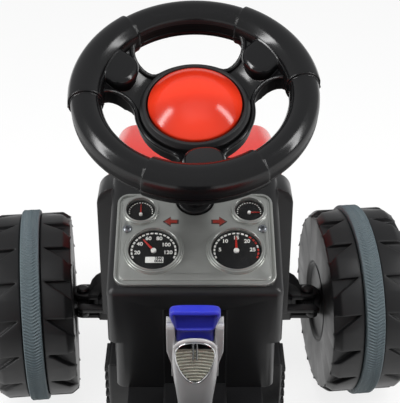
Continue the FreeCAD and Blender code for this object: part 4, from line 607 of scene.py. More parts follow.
# Black of the dial discs: matt printed card.
DIAL_BLACK = Plastic("matt_black_card", "#101011", "#0b0b0c", "#1c1c1d", roughness=0.55, spread=0.05, grain=0.6,
                     grain_depth=0.01, wear=0.0)
# Vacuum metallised film on the dash: bright silver with a fine brushed line across the plate.
DASH_SILVER = Metal("metallised_dash_film", "#bfc1bd", "#b3b5b1", roughness=0.36, spread=0.06, line=0.5,
                    stretch=(0.05, 1.0, 1.0), depth=0.004, metallic=0.85)
# Bright chrome of the lamps and of the bead and bars in the lever's window.
CHROME = Metal("chrome_plate", "#d5d6d8", "#c9cacc", roughness=0.10, spread=0.04, line=1.5, depth=0.002)
# Silver lacquer on the lever: fine flake under a soft gloss.
LEVER_SILVER = Metal("silver_lacquer", "#c1c1c1", "#b7b7b8", roughness=0.34, spread=0.05, line=0.35, depth=0.004,
                     metallic=0.35)
# Zinc plated steel of screws, pins and axles.
ZINC = Metal("zinc_plated_steel", "#a9adb2", "#8d9196", roughness=0.32, spread=0.10, line=0.8, depth=0.008)
# Oiled steel of the chain.
CHAIN_STEEL = Metal("oiled_chain_steel", "#7c7a76", "#5d5b58", roughness=0.38, spread=0.10, line=0.6, depth=0.010)
# Ribbed foil behind the lever's window: warm pale silver.
INSERT_FOIL = Metal("warm_silver_foil", "#dcdccf", "#c9c9ba", roughness=0.28, spread=0.06, line=0.5,
                    stretch=(1.0, 0.1, 1.0), depth=0.004, metallic=0.3)
# Clear covers of the gauges and the lever's window, and the inks of the dials.
LENS_CLEAR = Clear("clear_polystyrene")
WHITE_INK = Ink("white_dial_ink", "#f6f6f2", "#e4e4df")
RED_INK = Ink("red_dial_ink", "#c5382e", "#a92d26")
BLACK_INK = Ink("black_dial_ink", "#232323", "#303030")


def stand_in(piece: Piece, finish: Finish, slot: str, body: str, *nodes: str) -> Piece:
    """Gives a finished piece its finish, parents it to the body that it moves with and hides the CAD nodes that it
    stands for.

    Args:
        piece: The finished mesh object.
        finish: Its finish.
        slot: The record's material slot; not used.
        body: The body that it moves with.
        nodes: The CAD nodes that it stands for.

    Returns:
        The same piece.
    """
    finish.on(piece)
    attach(piece, body)
    if nodes:
        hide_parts(*nodes)
    LOG.info("%s rides on %s", piece.name, body)
    return piece


# --------------------------------------------------------------------------- steering


@dataclass
class SteeringWheel:
    """Two-shell wheel with three broad spokes, hand grips, and the red horn in its middle."""

    at: Triple = (0.0, 108.704, 507.0)
    rake: float = 25.0
    rest: float = 6.0
    ring: float = 104.0
    section: float = 14.5
    grip_rise: float = 2.4
    grip_half: float = 29.0
    seam_rise: float = 0.7
    deepen: float = 1.42
    bezel: float = 54.0
    floor: float = -26.0
    dish_start: float = 58.0
    dish_run: float = 34.0
    seam_level: float = -0.3
    sink: float = 14.0
    stem_end: float = -14.0
    lip: float = 2.6
    opening: Triple = (56.4, 92.0, 30.6)
    sleeve: float = 15.5
    sleeve_end: float = -160.8
    pad_size: Triple = (52.0, 40.0, 26.0)
    pad_start: Pair = (61.0, -1.0)
    pad_slope: float = 17.0
    pad_end: float = 17.5
    pad_edge: float = 6.5
    arms: tuple[float, ...] = (30.0, 150.0, 270.0)

    def frame(self) -> Matrix:
        """Returns the wheel's place and tilt."""
        return moved(*self.at) @ turned(self.rake, "X") @ turned(self.rest)

    def off_arm(self, degrees: float) -> float:
        """Returns the angle between a direction and the nearest spoke."""
        return min(abs((degrees - arm + 180) % 360 - 180) for arm in self.arms)

    def rim(self) -> Piece:
        """Returns the rim with its raised grips, the step between its two shells and the deeper shell below."""
        deselect()
        bpy.ops.mesh.primitive_torus_add(major_segments=180, minor_segments=32, major_radius=self.ring * MM,
                                         minor_radius=self.section * MM)
        rim = newest("steering_rim")
        with editing(rim):
            pick(rim, lambda face: self.off_arm(math.degrees(math.atan2(
                face.calc_center_median().y, face.calc_center_median().x))) < self.grip_half)
            bpy.ops.mesh.extrude_region_shrink_fatten(
                TRANSFORM_OT_shrink_fatten={"value": self.grip_rise * MM, "use_even_offset": True})
            pick(rim, lambda face: face.calc_center_median().z < self.seam_level * self.section * MM)
            bpy.ops.mesh.extrude_region_shrink_fatten(
                TRANSFORM_OT_shrink_fatten={"value": self.seam_rise * MM, "use_even_offset": True})
        round_edges(rim, 1.0, 3, 40.0, use_clamp_overlap=False)
        for point in rim.data.vertices:
            point.co.z *= self.deepen if point.co.z < 0 else 1.0
        return rim

    def dish(self, radius: float) -> float:
        """Returns the height of the hub plate's dish at a radius."""
        share = min(1.0, max(0.0, (radius - self.dish_start) / self.dish_run))
        return self.floor + 1.0 - self.floor * share

    def kidney(self, middle: float, grow: float = 0.0) -> list[Vector]:
        """Returns the outline of one opening between two spokes: two arcs with round ends.

        Args:
            middle: The direction of its middle in degrees.
            grow: How far the outline is moved outwards, in millimetres.

        Returns:
            The points in order, level with the wheel's middle.
        """
        near, far, half = self.opening
        end = (far - near) / 2 + grow
        points = []
        for side, radius in ((1, near - grow), (-1, far + grow)):
            for step in range(-12, 13):
                angle = math.radians(middle + side * half * step / 12)
                points.append(Vector((radius * math.cos(angle), radius * math.sin(angle), 0.0)))
            turn = math.radians(middle + side * half)
            out = Vector((math.cos(turn), math.sin(turn), 0.0)) * side
            along = Vector((-math.sin(turn), math.cos(turn), 0.0)) * side
            for step in range(1, 12):
                angle = math.pi * step / 12
                points.append(out * side * (near + far) / 2 - out * end * math.cos(angle)
                              + along * end * math.sin(angle))
        return points

    def roll(self, middle: float) -> Piece:
        """Returns the rolled lip round one opening."""
        line, beyond = self.kidney(middle), self.kidney(middle, 1.0)

        def place(column: int, row: int) -> Vector:
            spot = line[column % len(line)]
            way = (beyond[column % len(line)] - spot).normalized()
            angle = FULL_TURN * row / 10
            height = self.dish(spot.length) + 0.6 + self.lip * math.sin(angle)
            return spot + way * self.lip * math.cos(angle) + Vector((0.0, 0.0, height))

        return woven_grid("opening_lip", len(line), 10, place)

    def plate(self) -> Piece:
        """Returns the dished hub plate with its three openings."""
        plate = spun("hub_plate", [
            (self.bezel - 2.0, self.floor - 12.0), (self.bezel - 2.0, self.dish(self.bezel)),
            *[(radius, self.dish(radius)) for radius in (self.dish_start, 66.0, 75.0, 84.0, 92.0, 98.0)],
            (98.0, -11.0), (88.0, -19.0), (70.0, self.floor - 10.0)], 180)
        for arm in self.arms:
            low = [point - Vector((0.0, 0.0, 40.0)) for point in self.kidney(arm + 60.0)]
            cutter = prism("opening_cutter", low, Vector((0.0, 0.0, 70.0)))
            carve(plate, cutter)
        return joined("hub_plate", [plate, *[self.roll(arm + 60.0) for arm in self.arms]])

    def pad(self) -> Piece:
        """Returns the raised tongue that runs from the rim on to one spoke, along +X."""
        (length, _, depth), (start, top) = self.pad_size, self.pad_start
        level = top - depth / 2
        pad = block("spoke_pad", self.pad_size, (start + length / 2, 0.0, level))
        with editing(pad, Pick.EDGES):
            round_picked(pad, lambda edge: (middle_of(edge).x < (start + 5.0) * MM
                                            and abs(middle_of(edge).z - level * MM) < 0.1 * MM), self.pad_end, 10)
            round_picked(pad, lambda edge: all(v.co.z > (top - 0.5) * MM for v in edge.verts), self.pad_edge, 7)
        pad.data.transform(moved(start, 0.0, top) @ turned(-self.pad_slope, "Y") @ moved(-start, 0.0, -top))
        return pad

    def sunk(self, name: str, node: str, width: float) -> Piece:
        """Returns a piece of the horn set down into the dish, its stem cut short by as much.

        Args:
            name: The new piece's name.
            node: The CAD node to copy.
            width: The width of its edges' rounding.

        Returns:
            The new object.
        """
        piece = eased(name, node, width, 3)
        away = self.frame().inverted()
        for point in piece.data.vertices:
            spot = away @ point.co
            if spot.z > self.stem_end * MM:
                spot.z -= self.sink * MM
            point.co = self.frame() @ spot
        return piece

    def build(self) -> None:
        """Models the wheel and dresses the horn in its middle."""
        rim = self.rim()
        plate = self.plate()
        sleeve = spun("hub_sleeve", [
            (8.0, self.floor), (57.0, self.floor), (57.0, self.floor - 8.0), (52.0, self.floor - 12.5),
            (26.0, self.floor - 17.0), (19.5, self.floor - 20.0), (self.sleeve, self.floor - 26.0),
            (self.sleeve, self.sleeve_end), (8.0, self.sleeve_end)], 96)
        pattern = self.pad()
        pads = [copied(pattern, turned(arm)) for arm in self.arms]
        remove(pattern)
        wheel = joined("steering_wheel_shell", [rim, plate, sleeve, *pads])
        wheel.data.transform(self.frame())
        smooth(wheel, 42.0)
        stand_in(wheel, GLOSS_BLACK, "steering_black", "steering", "steering_wheel")
        for name, node, width, finish, slot, body in (
                ("horn_ring", "horn_bezel", 0.7, SATIN_GREY, "bezel_grey", "steering"),
                ("horn_dome", "horn_button", 0.8, HORN_RED, "horn_red", "horn"),
                ("horn_coil", "horn_spring", 0.0, ZINC, "spring_steel", "steering")):
            stand_in(self.sunk(name, node, width), finish, slot, body, node)
        ZINC.on(bpy.data.objects["steering_column"])


# --------------------------------------------------------------------------- dash


@dataclass
class Gauge:
    """One round gauge of the dash: where it sits and what its dial reads."""

    name: str
    x: float
    y: float
    dial: float
    needle: float
    start: float
    sweep: float
    ticks: int
    red_from: int
    numbers: tuple[str, ...] = ()
    drop: float = 0.0

    @property
    def big(self) -> bool:
        """Returns whether it is one of the two large gauges."""
        return self.dial > 20


@dataclass
class Dash:
    """Silver dash plate with four gauges, two arrows and its two screws."""

    at: Triple = (0.0, 138.0, 324.0)
    tilt: float = 21.0
    face: float = 5.0
    dial_top: float = 2.5
    screws: Pair = (72.0, 11.5)
    recess: Triple = (5.6, 1.3, 3.0)
    arrows: Pair = (26.0, 21.0)
    arrow_grow: float = 1.22
    card_size: Triple = (19.0, 7.6, 0.4)
    card_at: Pair = (-42.5, -27.5)

    def frame(self) -> Matrix:
        """Returns the plate's place and tilt."""
        return moved(*self.at) @ turned(self.tilt, "X")

    def gauges(self) -> list[Gauge]:
        """Returns the four gauges as they read in the photograph."""
        return [
            Gauge("speed", x=-43.5, y=-16.0, dial=26.5, needle=128.0, start=200.0, sweep=-220.0, ticks=20,
                  red_from=20, numbers=("20", "40", "60", "80", "100", "120")),
            Gauge("revs", x=43.5, y=-16.0, dial=26.5, needle=90.0, start=200.0, sweep=-220.0, ticks=20,
                  red_from=12, numbers=("5", "10", "15", "20", "25")),
            Gauge("fuel", x=-58.5, y=36.5, dial=15.5, needle=90.0, start=190.0, sweep=-200.0, ticks=16,
                  red_from=16, drop=4.0),
            Gauge("heat", x=58.5, y=36.5, dial=15.5, needle=0.0, start=190.0, sweep=-200.0, ticks=16,
                  red_from=16, drop=1.5),
        ]

    def ring(self, gauge: Gauge) -> Piece:
        """Returns a gauge's raised surround with its rolled bright ring."""
        out = gauge.dial
        flare = 5.6 if gauge.big else 4.4
        ring = spun("gauge_surround_" + gauge.name, [
            (out + 0.15, self.face - 2.0), (out + 0.15, self.face + 2.6), (out + 0.5, self.face + 3.0),
            (out + 1.0, self.face + 3.0), (out + 1.5, self.face + 2.5), (out + 1.8, self.face + 1.4),
            (out + flare - 1.7, self.face + 1.1), (out + flare - 1.3, self.face + 1.7),
            (out + flare - 0.6, self.face + 1.7), (out + flare, self.face + 0.05),
            (out + flare, self.face - 2.0)], 96)
        ring.data.transform(moved(gauge.x, gauge.y))
        return ring

    def marks(self, gauge: Gauge) -> tuple[list[Piece], list[Piece]]:
        """Returns a gauge's white marks and its red ones.

        Args:
            gauge: The gauge whose dial is drawn.

        Returns:
            The white ticks and numbers, and the red ticks.
        """
        length, width = (1.9, 3.1) if gauge.big else (1.2, 1.5)
        tick = block("dial_tick", (length, width, 0.3), (gauge.dial - 2.4 - length / 2, 0.0, self.dial_top + 0.15))
        with editing(tick, Pick.EDGES):
            round_picked(tick, lambda edge: edge.calc_length() < 0.4 * MM, 0.25, 2)
        white, red = [], []
        for index in range(gauge.ticks):
            degrees = gauge.start + gauge.sweep * index / (gauge.ticks - 1)
            spot = moved(gauge.x, gauge.y) @ turned(degrees)
            (red if index >= gauge.red_from and index % 4 else white).append(copied(tick, spot))
        remove(tick)
        for index, text in enumerate(gauge.numbers):
            share = (index + 0.5) / len(gauge.numbers) if len(gauge.numbers) == 5 else index / 5 * 0.92 + 0.04
            degrees = math.radians(gauge.start - 4 + (gauge.sweep + 8) * share)
            reach = gauge.dial - (9.2 if len(text) < 3 else 11.2)
            white.append(self.figure(text, 6.4, gauge.x + reach * math.cos(degrees),
                                     gauge.y + reach * math.sin(degrees)))
        return white, red

    def figure(self, text: str, height: float, x: float, y: float, top: float = 0.0) -> Piece:
        """Returns a number as a thin raised mesh at a place on the dials.

        Args:
            text: The digits.
            height: Their size in millimetres.
            x: Middle across the plate.
            y: Middle along the plate.
            top: Height above the dial.

        Returns:
            The new object.
        """
        deselect()
        bpy.ops.object.text_add()
        words = bpy.context.active_object
        words.data.body = text
        words.data.size = height * MM
        words.data.align_x = "CENTER"
        words.data.align_y = "CENTER"
        words.data.extrude = 0.12 * MM
        words.data.offset = 0.16 * MM
        bpy.ops.object.convert(target="MESH")
        number = bpy.context.active_object
        number.data.transform(moved(x, y, self.dial_top + 0.2 + top))
        return number

    def needle(self, gauge: Gauge) -> Piece:
        """Returns a gauge's tapered hand."""
        reach = gauge.dial * 0.74 + gauge.drop
        hand = block("hand_" + gauge.name, (reach, gauge.dial * 0.11, 0.7),
                     (reach / 2 - 1.5, 0, self.dial_top + 1.2))
        with editing(hand):
            pick(hand, lambda face: face.normal.x > 0.9)
            bpy.ops.transform.resize(value=(1, 0.45, 1))
            pick(hand, lambda face: face.normal.z > 0.9)
            bpy.ops.mesh.inset(thickness=0.35 * MM)
            bpy.ops.transform.translate(value=(0, 0, 0.3 * MM))
        hand.data.transform(moved(gauge.x, gauge.y - gauge.drop) @ turned(gauge.needle))
        return hand

    def knob(self, gauge: Gauge) -> Piece:
        """Returns the white cap on a gauge's spindle."""
        size = 2.9 if gauge.big else 1.9
        knob = spun("spindle_cap_" + gauge.name, [
            (0.0, self.dial_top), (size, self.dial_top), (size, self.dial_top + 1.8),
            (size * 0.8, self.dial_top + 2.5), (0.0, self.dial_top + 2.8)], 32)
        knob.data.transform(moved(gauge.x, gauge.y - gauge.drop))
        return knob

    def cover(self, gauge: Gauge) -> Piece:
        """Returns a gauge's thin crowned cover."""
        out, low = gauge.dial - 0.2, self.face + 2.2
        crown = gauge.dial * 0.075
        arch = [(share, crown * (1 - share * share)) for share in (1.0, 0.9, 0.75, 0.55, 0.3, 0.0)]
        outside = [(out * share, low + 0.9 + rise) for share, rise in arch]
        inside = [((out - 0.8) * share, low + rise) for share, rise in arch[::-1]]
        cover = spun("gauge_cover_" + gauge.name, outside + inside, 64)
        cover.data.transform(moved(gauge.x, gauge.y))
        return cover

    def counter(self) -> list[Piece]:
        """Returns the white counter window of the speed dial and its two rows of digits."""
        frame = block("counter_card", self.card_size, (*self.card_at, self.dial_top + 0.2))
        with editing(frame, Pick.EDGES):
            round_picked(frame, lambda edge: edge.calc_length() < 0.5 * MM, 0.6, 3)
        across, along = self.card_at[0] + 4.3, self.card_at[1]
        rows = [self.figure(digits, 4.3, across, along + rise, 0.3)
                for digits, rise in (("1840", 1.8), ("0036", -1.8))]
        return [frame, joined("counter_digits", rows)]

    def screw_heads(self) -> Piece:
        """Returns the screws with a cross recess cut into each dash screw."""
        heads = eased("screw_heads", "body_screws", 0.5, 2)
        for side in Side:
            for turn in (40.0, 130.0):
                cutter = block("recess", self.recess, (0, 0, 0))
                with editing(cutter):
                    pick(cutter, lambda face: face.normal.z < -0.9)
                    bpy.ops.transform.resize(value=(0.4, 0.6, 1))
                spot = moved(side.value * self.screws[0], self.screws[1], self.face + 2.9)
                cutter.data.transform(self.frame() @ spot @ turned(turn))
                carve(heads, cutter)
        return smooth(heads)

    def arrow_edges(self) -> Piece:
        """Returns the dark printed edge round each arrow."""
        edges = eased("arrow_edges", "indicator_arrows", 0.0)
        away = self.frame().inverted()
        for point in edges.data.vertices:
            spot = away @ point.co
            middle = Vector((math.copysign(self.arrows[0], spot.x) * MM, self.arrows[1] * MM, spot.z))
            point.co = self.frame() @ (middle + (spot - middle) * self.arrow_grow - Vector((0.0, 0.0, 0.4 * MM)))
        return edges

    def build(self) -> None:
        """Models and dresses everything on the plate."""
        panel = eased("dash_plate", "dash_panel", 0.7, 3)
        bright = joined("dash_bright_trim", [self.ring(gauge) for gauge in self.gauges()])
        bright.data.transform(self.frame())
        stand_in(panel, DASH_SILVER, "dash_silver", "chassis", "dash_panel")
        stand_in(smooth(bright), DASH_SILVER, "dash_silver", "chassis")
        white, red = [], []
        for gauge in self.gauges():
            marks = self.marks(gauge)
            white += marks[0]
            red += marks[1]
        card, digits = self.counter()
        hands = joined("gauge_hands", [self.needle(gauge) for gauge in self.gauges()])
        knobs = joined("spindle_caps", [self.knob(gauge) for gauge in self.gauges()])
        for piece, finish, slot, nodes in (
                (joined("dial_white_marks", white), WHITE_INK, "dial_black", ()),
                (joined("dial_red_marks", red), RED_INK, "dial_black", ()),
                (card, WHITE_INK, "dial_black", ()), (digits, BLACK_INK, "dial_black", ()),
                (hands, SATIN_RED, "needle_red", ("gauge_needles",)), (knobs, WHITE_INK, "dial_black", ())):
            piece.data.transform(self.frame())
            stand_in(smooth(piece), finish, slot, "chassis", *nodes)
        stand_in(eased("dial_discs", "gauge_dials", 0.2), DIAL_BLACK, "dial_black", "chassis", "gauge_dials")
        stand_in(eased("turn_arrows", "indicator_arrows", 0.3), ARROW_RED, "arrow_red", "chassis",
                 "indicator_arrows")
        stand_in(self.arrow_edges(), BLACK_INK, "arrow_red", "chassis")
        stand_in(self.screw_heads(), ZINC, "screw_steel", "chassis", "body_screws")
        lenses = joined("gauge_covers", [self.cover(gauge) for gauge in self.gauges()])
        lenses.data.transform(self.frame())
        stand_in(smooth(lenses, 50.0), LENS_CLEAR, "lens_clear", "chassis", "gauge_lenses")


# --------------------------------------------------------------------------- body


@dataclass
class BodyShell:
    """Console, hood, lower body, seat, fenders and what is fixed to them."""

    back: float = 80.6
    step: float = 234.5
    tuck: float = 6.0
    foot_tuck: float = 8.0
    brow: float = 280.0
    lift: float = 2.3

    def console(self) -> Piece:
        """Returns the console with its back drawn in under the dash plate, the foot a little more than the box."""
        shell = eased("console_shell", "dash_console", 1.0, 3, True)
        for point in shell.data.vertices:
            if point.co.y < self.back * MM:
                point.co.y += (self.foot_tuck if point.co.z < self.step * MM else self.tuck) * MM
                if point.co.z > self.brow * MM:
                    point.co.z += self.lift * MM
        return shell

    def build(self) -> None:
        """Rounds the moulded shells' edges and gives each its plastic."""
        stand_in(self.console(), CONSOLE_BLACK, "console_black", "chassis", "dash_console")
        rows = (
            ("lower_shell", "lower_body", 1.2, SATIN_BLACK, "body_black"),
            ("hood_shell", "hood", 1.0, GLOSS_RED, "body_red"),
            ("grille_frame", "grille", 0.7, SATIN_BLACK, "trim_black"),
            ("headlamps", "headlights", 0.6, CHROME, "lamp_chrome"),
            ("seat_shell", "seat", 2.5, SATIN_BLACK, "seat_black"),
            ("hitch_plate", "hitch", 1.0, ZINC, "hitch_steel"),
            ("lever_gate", "gear_gate", 1.0, SATIN_BLACK, "console_black"),
            *[("fender_shell_" + side, "fender_" + side, 1.4, GLOSS_RED, "body_red") for side in ("left", "right")],
        )
        for name, node, width, finish, slot in rows:
            stand_in(eased(name, node, width, 3), finish, slot, "chassis", node)


# --------------------------------------------------------------------------- lever


@dataclass
class GearLever:
    """Silver lever with a forked head, the ribbed window in its face and the blue squeeze paddle."""

    at: Triple = (0.0, 20.0, 184.0)
    lean: float = 10.0
    face: float = -14.5
    recess: float = 4.6
    ear: float = 8.0
    ear_depth: float = 16.0
    ear_out: float = 27.2
    ear_foot: float = 72.0
    ear_bend: float = 95.0
    ear_draw: float = 4.4
    head: float = 143.0
    band_low: float = 117.0
    ribs: int = 11
    rib_low: float = 71.0
    rib_size: Triple = (40.0, 1.8, 2.3)
    rib_bow: float = 9.0
    bar_size: Triple = (1.6, 1.6, 24.0)
    tray_size: Triple = (36.0, 5.6, 21.0)
    tray_at: Triple = (0.0, -10.4, 150.0)

    def frame(self) -> Matrix:
        """Returns the lever's place and lean."""
        return moved(*self.at) @ turned(self.lean, "X")

    def window(self, grow: float = 0.0) -> list[Vector]:
        """Returns the window's outline in the lever's face, as (x, z) points.

        Args:
            grow: How far the outline is moved outwards, in millimetres.

        Returns:
            The points in order, from the tip below round to the right.
        """
        right = [(0.0, 68.5), (6.5, 72.0), (13.2, 82.5), (17.8, 97.0), (19.4, 109.0), (17.6, 118.5), (11.0, 125.0),
                 (0.0, 127.2)]
        knots = [Vector(point) for point in right + [(-x, z) for x, z in right[-2:0:-1]]]
        points = []
        for index, knot in enumerate(knots):
            before, after = knots[index - 1], knots[(index + 1) % len(knots)]
            beyond = knots[(index + 2) % len(knots)]
            for step in range(6):
                t = step / 6
                points.append(0.5 * (2 * knot + (after - before) * t
                                     + (2 * before - 5 * knot + 4 * after - beyond) * t ** 2
                                     + (3 * knot - before - 3 * after + beyond) * t ** 3))
        away = [points[(index + 1) % len(points)] - points[index - 1] for index in range(len(points))]
        return [point + Vector((run.y, -run.x)).normalized() * grow for point, run in zip(points, away)]

    def window_plate(self, name: str, grow: float, near: float, far: float) -> Piece:
        """Returns the window's outline as a plate between two depths.

        Args:
            name: The piece's name.
            grow: How far the outline is moved outwards.
            near: The depth of its near face, towards the driver.
            far: The depth of its far face.

        Returns:
            The new object.
        """
        return prism(name, [Vector((x, near, z)) for x, z in self.window(grow)], Vector((0.0, far - near, 0.0)))

    def lofted(self, name: str, rows: Sequence[tuple[float, float, float, float]], power: float) -> Piece:
        """Returns a closed form through rounded sections.

        Args:
            name: The piece's name.
            rows: Height, half width, near face and far face of each section, from below.
            power: How boxy the sections are; two is an ellipse.

        Returns:
            The new object.
        """
        around = 64
        ends = [(rows[0][0], 0.0, rows[0][2], rows[0][3]), *rows, (rows[-1][0], 0.0, rows[-1][2], rows[-1][3])]

        def place(column: int, row: int) -> Vector:
            height, half, near, far = ends[row]
            angle = FULL_TURN * column / around
            across = math.copysign(abs(math.cos(angle)) ** (2 / power), math.cos(angle))
            along = math.copysign(abs(math.sin(angle)) ** (2 / power), math.sin(angle))
            depth = (far - near) / 2 if half else 0.0
            return Vector((half * across, (near + far) / 2 + depth * along, height))

        return woven_grid(name, around, len(ends) - 1, place)

    def grip(self) -> Piece:
        """Returns the lever's moulded blade with its fork and the window's recess."""
        blade = self.lofted("lever_grip", [
            (-7.0, 15.0, -6.0, 6.0), (-4.0, 17.0, -8.0, 8.0), (6.0, 17.2, -8.5, 8.0), (18.0, 17.3, -10.5, 8.0),
            (32.0, 17.7, -12.6, 8.0), (48.0, 19.2, -13.8, 8.0), (62.0, 20.8, -14.2, 8.0), (78.0, 22.2, -14.4, 8.0),
            (92.0, 22.9, -14.5, 8.0), (104.0, 22.9, -14.5, 8.0), (112.0, 22.3, -14.4, 8.0),
            (116.6, 21.4, -14.3, 8.0), (117.0, 21.2, -14.3, -9.0), (121.0, 19.6, -14.2, -9.0),
            (125.0, 16.4, -13.9, -9.0), (128.0, 11.8, -13.5, -9.6), (129.4, 7.0, -12.8, -10.4)], 2.7)
        ears = []
        for side in Side:
            ear = block("fork_ear", (self.ear, self.ear_depth, self.head - self.ear_foot),
                        (side.value * (self.ear_out - self.ear / 2), 0.0, (self.head + self.ear_foot) / 2))
            with editing(ear, Pick.EDGES):
                bpy.ops.mesh.select_all(action="SELECT")
                bpy.ops.mesh.subdivide(number_cuts=3)
                pick(ear, lambda point: point.co.z < self.ear_bend * MM, Pick.POINTS)
                bpy.ops.transform.translate(value=(-side.value * self.ear_draw * MM, 0, 0))
                round_picked(ear, lambda edge: all(v.co.z > (self.head - 0.1) * MM
                                                   and abs(v.co.y) > (self.ear_depth / 2 - 0.1) * MM
                                                   for v in edge.verts), 6.0, 6)
            round_edges(ear, 0.9, 3, 50.0)
            ears.append(ear)
        recess = self.window_plate("window_recess", 0.4, self.face - 4.0, self.face + self.recess)
        carve(blade, recess)
        round_edges(blade, 0.9, 3, 55.0)
        return joined("lever_grip", [blade, *ears])

    def bead(self) -> Piece:
        """Returns the bright bead that lines the window."""
        outline = self.window(0.2)
        inner = self.window(-1.3)
        depth = self.face + 0.9

        def place(column: int, row: int) -> Vector:
            angle = FULL_TURN * row / 8
            out, into = outline[column % len(outline)], inner[column % len(inner)]
            spot = into.lerp(out, 0.5 + 0.5 * math.cos(angle))
            return Vector((spot.x, depth + 1.3 * math.sin(angle), spot.y))

        return woven_grid("window_bead", len(outline), 8, place)

    def foil(self) -> Piece:
        """Returns the ribbed foil behind the window: arched ribs on a plate."""
        floor = self.face + self.recess
        plate = self.window_plate("lever_foil", 0.1, floor - 1.2, floor - 0.1)
        bars = []
        for index in range(self.ribs):
            height = self.rib_low + (self.band_low - self.rib_low - 1.0) * index / (self.ribs - 1)
            bar = block("foil_rib", self.rib_size, (0.0, floor - 1.5, height))
            with editing(bar, Pick.EDGES):
                pick(bar, lambda edge: edge.calc_length() > 30.0 * MM, Pick.EDGES)
                bpy.ops.mesh.subdivide(number_cuts=9)
                round_picked(bar, lambda edge: (edge.calc_length() > 3.9 * MM
                                                and edge.verts[0].co.y < (floor - 1.5) * MM), 0.7, 2)
            for point in bar.data.vertices:
                point.co.z -= self.rib_bow * point.co.x ** 2
            bars.append(bar)
        ribs = joined("foil_ribs", bars)
        keep = self.window_plate("foil_limit", -0.2, floor - 4.0, floor)
        carve(ribs, keep, "INTERSECT")
        return joined("lever_foil", [plate, ribs])

    def band(self) -> Piece:
        """Returns the dark strip across the window's head: painted shade standing in for the shaded hollow under
        the paddle.
        """
        floor = self.face + self.recess
        strip = self.window_plate("window_painted_shade_strip", -0.1, floor - 2.9, floor - 1.1)
        cutter = block("strip_cutter", (60.0, 30.0, 60.0), (0.0, self.face, self.band_low - 30.0))
        round_edges(cutter, 5.0, 6, 50.0)
        carve(strip, cutter)
        round_edges(strip, 0.4, 2, 50.0)
        return strip

    def bars(self) -> Piece:
        """Returns the two bright bars that stand in the window's head."""
        floor = self.face + self.recess
        both = []
        for side in Side:
            bar = block("window_bar", self.bar_size, (side.value * 1.8, floor - 3.2, 114.0))
            with editing(bar, Pick.EDGES):
                round_picked(bar, lambda edge: edge.calc_length() > 10.0 * MM, 0.5, 3)
            both.append(bar)
        return joined("window_bars", both)

    def paddle(self) -> Piece:
        """Returns the paddle: a flared tray with a rolled lip on a narrower block."""
        paddle = self.lofted("squeeze_paddle", [
            (118.0, 16.8, -4.4, 4.4), (118.8, 18.0, -5.6, 5.6), (122.0, 18.4, -6.0, 6.0), (134.6, 18.4, -6.2, 6.0),
            (136.0, 18.7, -7.8, 6.0), (137.4, 19.2, -9.2, 6.0), (143.0, 20.4, -10.0, 5.4),
            (149.0, 22.2, -10.6, 4.2), (155.0, 24.0, -11.0, 2.8), (159.6, 24.0, -11.2, 1.6),
            (162.4, 22.8, -10.8, 0.6), (164.2, 20.0, -9.6, -0.8)], 5.0)
        tray = block("tray_cutter", self.tray_size, self.tray_at)
        with editing(tray):
            pick(tray, lambda face: face.normal.z > 0.9)
            bpy.ops.transform.resize(value=(1.16, 1, 1))
        round_edges(tray, 2.0, 4, 50.0)
        carve(paddle, tray)
        round_edges(paddle, 0.5, 2, 48.0)
        return paddle

    def build(self) -> None:
        """Models and dresses the lever's pieces."""
        pane = self.window_plate("window_pane", -1.0, self.face + 1.6, self.face + 0.7)
        rows = (
            (self.grip(), LEVER_SILVER, "lever_silver", "gear_lever", ("gear_lever",)),
            (self.bead(), CHROME, "insert_silver", "gear_lever", ()),
            (self.foil(), INSERT_FOIL, "insert_silver", "gear_lever", ("gear_insert",)),
            # The dark strip is painted shade, in place of the shaded hollow under the paddle.
            (self.band(), GLOSS_BLACK, "console_black", "gear_lever", ()),
            (self.bars(), CHROME, "insert_silver", "gear_lever", ()),
            (pane, LENS_CLEAR, "window_clear", "gear_lever", ("gear_window",)),
            (self.paddle(), SATIN_BLUE, "paddle_blue", "gear_paddle", ("gear_paddle",)),
        )
        for piece, finish, slot, body, nodes in rows:
            piece.data.transform(self.frame())
            stand_in(smooth(piece, 42.0), finish, slot, body, *nodes)
        ZINC.on(bpy.data.objects["paddle_pin"])


# --------------------------------------------------------------------------- wheels


